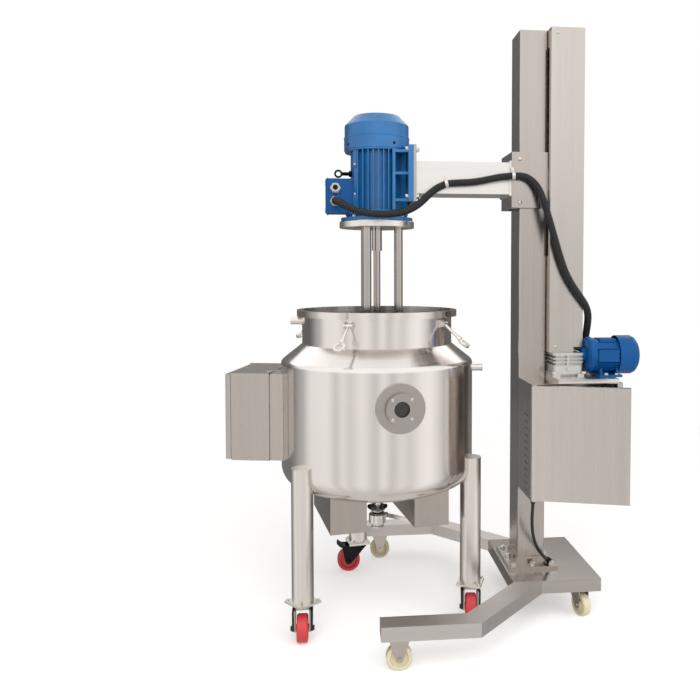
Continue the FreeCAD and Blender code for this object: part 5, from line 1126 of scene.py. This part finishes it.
class MIXER_OT_stage(bpy.types.Operator):
    """Camera at the photograph's place, soft lamps, pale floor and studio surroundings"""

    bl_idname = "mixer.stage"
    bl_label = "Stage"

    def execute(self, context):
        sizes = context.scene.mixer_stage
        scene = context.scene
        camera = add_object("photo_camera", bpy.data.cameras.new("photo_camera"))
        camera.location = CAMERA_PLACE
        camera.rotation_euler = (math.radians(90 - CAMERA_DOWN), 0.0, -math.radians(CAMERA_TURN))
        camera.data.sensor_width = CAMERA_FRAME
        camera.data.lens = CAMERA_LENS
        camera.data.shift_x, camera.data.shift_y = CAMERA_SHIFT
        camera.data.clip_start = 0.05
        camera.data.clip_end = 100.0
        scene.camera = camera
        scene.view_settings.view_transform = "Standard"
        studio_world(scene, sizes.daylight)
        soft_lamp("key_lamp", sizes.key_power, *KEY_LAMP)
        soft_lamp("fill_lamp", sizes.fill_power, *FILL_LAMP)
        studio_floor(sizes.floor_radius)
        return {"FINISHED"}


def soft_lamp(name, power, location, size):
    """Square soft box aimed at the middle of the object."""
    data = bpy.data.lights.new(name, "AREA")
    data.energy = power
    data.size = size
    lamp = add_object(name, data)
    lamp.visible_glossy = False
    lamp.location = location
    lamp.rotation_mode = "QUATERNION"
    lamp.rotation_quaternion = (Vector(LAMP_AIM) - Vector(location)).to_track_quat("-Z", "Y")


def fill_ramp(ramp, levels):
    """Sets a colour ramp to places with their brightness, a little warm."""
    while len(ramp.elements) > 1:
        ramp.elements.remove(ramp.elements[-1])
    for i, (position, level) in enumerate(levels):
        element = ramp.elements[0] if i == 0 else ramp.elements.new(position)
        element.position = position
        element.color = (level, level * 0.985, level * 0.97, 1.0)


def mirrored_room(tree, axes):
    """Colour of the studio as metal sees it: banded walls, pale ceiling, dim back wall and grey ground."""
    across, depth, height = (axes.outputs[axis] for axis in "XYZ")
    forward = add_node(tree, "ShaderNodeMath", {0: depth, 1: -1.0}, operation="MULTIPLY")
    azimuth = add_node(tree, "ShaderNodeMath", {0: across, 1: forward}, operation="ARCTAN2")
    share = add_node(tree, "ShaderNodeMapRange", {"Value": azimuth, 1: -math.pi, 2: math.pi})
    walls = add_node(tree, "ShaderNodeValToRGB", {"Fac": share})
    fill_ramp(walls.color_ramp, [((angle + 180) / 360, level) for angle, level in WALLS])
    low, high = CEILING_EDGES
    rise = add_node(
        tree, "ShaderNodeMapRange", {"Value": height, 1: low, 2: high, 3: 0.0, 4: CEILING_SHARE}
    )
    above = add_node(tree, "ShaderNodeMix", {0: rise, 6: walls, 7: CEILING}, data_type="RGBA")
    near, far = BACK_EDGES
    behind = add_node(tree, "ShaderNodeMapRange", {"Value": depth, 1: near, 2: far})
    back_wall = add_node(tree, "ShaderNodeValToRGB", {"Fac": height})
    fill_ramp(back_wall.color_ramp, BACK_WALL)
    all_round = add_node(tree, "ShaderNodeMix", {0: behind, 6: above, 7: back_wall}, data_type="RGBA")
    high, low = GROUND_EDGES
    fall = add_node(tree, "ShaderNodeMapRange", {"Value": height, 1: high, 2: low, 3: 0.0, 4: 1.0})
    return add_node(tree, "ShaderNodeMix", {0: fall, 6: all_round, 7: GROUND}, data_type="RGBA")


def studio_world(scene, daylight):
    """White to the camera, an even light on the object, and a room of panels and flags to metal."""
    world = bpy.data.worlds.new("studio")
    scene.world = world
    world.use_nodes = True
    tree = world.node_tree
    tree.nodes.clear()
    coords = add_node(tree, "ShaderNodeTexCoord")
    direction = coords.outputs["Generated"]
    axes = add_node(tree, "ShaderNodeSeparateXYZ", {0: direction})
    room = mirrored_room(tree, axes)
    path = add_node(tree, "ShaderNodeLightPath")
    from_front = add_node(
        tree, "ShaderNodeVectorMath", {0: direction, 1: DAY_DIRECTION}, operation="DOT_PRODUCT"
    )
    far, near = DAY_EDGES
    dim, bright = DAY_SHARES
    soft = add_node(
        tree, "ShaderNodeMapRange",
        {"Value": from_front, 1: far, 2: near, 3: daylight * dim, 4: daylight * bright},
    )
    even = add_node(
        tree, "ShaderNodeMix", {0: path.outputs["Is Glossy Ray"], 6: soft, 7: room}, data_type="RGBA"
    )
    seen = add_node(
        tree, "ShaderNodeMath", {0: path.outputs["Is Camera Ray"], 1: path.outputs["Is Transmission Ray"]},
        operation="MAXIMUM",
    )
    white = add_node(tree, "ShaderNodeMix", {0: seen, 6: even, 7: WHITE}, data_type="RGBA")
    backdrop = add_node(tree, "ShaderNodeBackground", {"Color": white, "Strength": 1.0})
    add_node(tree, "ShaderNodeOutputWorld", {"Surface": backdrop})


def floor_paper():
    """Matt paper that keeps the object's shadow, fades out far away and is mostly hidden from metal."""
    material, tree, point = new_finish("studio_floor_paper")
    distance = add_node(tree, "ShaderNodeVectorMath", {0: point}, operation="LENGTH")
    start, end = FLOOR_FADE
    fade = add_node(
        tree, "ShaderNodeMapRange", {"Value": distance, 1: start, 2: end}, interpolation_type="SMOOTHSTEP"
    )
    paper = add_node(tree, "ShaderNodeBsdfDiffuse", {"Color": linear(FLOOR_PAPER)})
    path = add_node(tree, "ShaderNodeLightPath")
    camera_ray = path.outputs["Is Camera Ray"]
    glossy_ray = path.outputs["Is Glossy Ray"]
    lift = add_node(tree, "ShaderNodeMath", {0: camera_ray, 1: FLOOR_GLOW}, operation="MULTIPLY")
    glow = add_node(tree, "ShaderNodeEmission", {"Color": WHITE, "Strength": lift})
    both = add_node(tree, "ShaderNodeAddShader", {0: paper, 1: glow})
    clear = add_node(tree, "ShaderNodeBsdfTransparent")
    unseen = add_node(tree, "ShaderNodeMath", {0: glossy_ray, 1: FLOOR_HIDDEN}, operation="MULTIPLY")
    hidden = add_node(tree, "ShaderNodeMath", {0: fade, 1: unseen}, operation="MAXIMUM")
    mixed = add_node(tree, "ShaderNodeMixShader", {0: hidden, 1: both, 2: clear})
    add_node(tree, "ShaderNodeOutputMaterial", {"Surface": mixed})
    return material


def studio_floor(radius):
    """Round floor of the studio, which is no part of the object."""
    turns = [math.tau * k / FLOOR_SIDES for k in range(FLOOR_SIDES)]
    rim = [(radius * math.cos(turn), radius * math.sin(turn), 0.0) for turn in turns]
    mesh = bpy.data.meshes.new("studio_floor")
    mesh.from_pydata(rim, [], [tuple(range(FLOOR_SIDES))])
    mesh.materials.append(floor_paper())
    add_object("studio_floor", mesh)


class MIXER_PT_panel(bpy.types.Panel):
    """Sidebar panel that lists the mixer's operators and sizes"""

    bl_idname = "MIXER_PT_panel"
    bl_label = "High shear mixer"
    bl_space_type = "VIEW_3D"
    bl_region_type = "UI"
    bl_category = "Mixer"

    def draw(self, context):
        layout = self.layout
        for operator in OPERATORS:
            layout.operator(operator.bl_idname)
        for owner, group in GROUPS.items():
            layout.label(text=group.__doc__)
            settings = getattr(context.scene, owner)
            for name in group.__annotations__:
                layout.prop(settings, name)


GROUPS = {
    "mixer_finishes": MixerFinishes,
    "mixer_hoses": MixerHoses,
    "mixer_bolts": MixerBolts,
    "mixer_holes": MixerHoles,
    "mixer_stage": MixerStage,
}
OPERATORS = (
    MIXER_OT_finishes,
    MIXER_OT_hoses,
    MIXER_OT_bolts,
    MIXER_OT_air_holes,
    MIXER_OT_black_trims,
    MIXER_OT_stage,
)


def register():
    """Registers the classes and gives the scene its settings."""
    for group in GROUPS.values():
        bpy.utils.register_class(group)
    for operator in OPERATORS:
        bpy.utils.register_class(operator)
    bpy.utils.register_class(MIXER_PT_panel)
    for owner, group in GROUPS.items():
        setattr(bpy.types.Scene, owner, bpy.props.PointerProperty(type=group))


def unregister():
    """Takes the settings and the classes away again."""
    for owner in GROUPS:
        delattr(bpy.types.Scene, owner)
    bpy.utils.unregister_class(MIXER_PT_panel)
    for operator in reversed(OPERATORS):
        bpy.utils.unregister_class(operator)
    for group in reversed(list(GROUPS.values())):
        bpy.utils.unregister_class(group)


def main():
    """Registers the add-on and makes every piece in order."""
    register()
    bpy.ops.mixer.finishes()
    bpy.ops.mixer.hoses()
    bpy.ops.mixer.bolts()
    bpy.ops.mixer.air_holes()
    bpy.ops.mixer.black_trims()
    bpy.ops.mixer.stage()


if __name__ == "__main__":
    main()
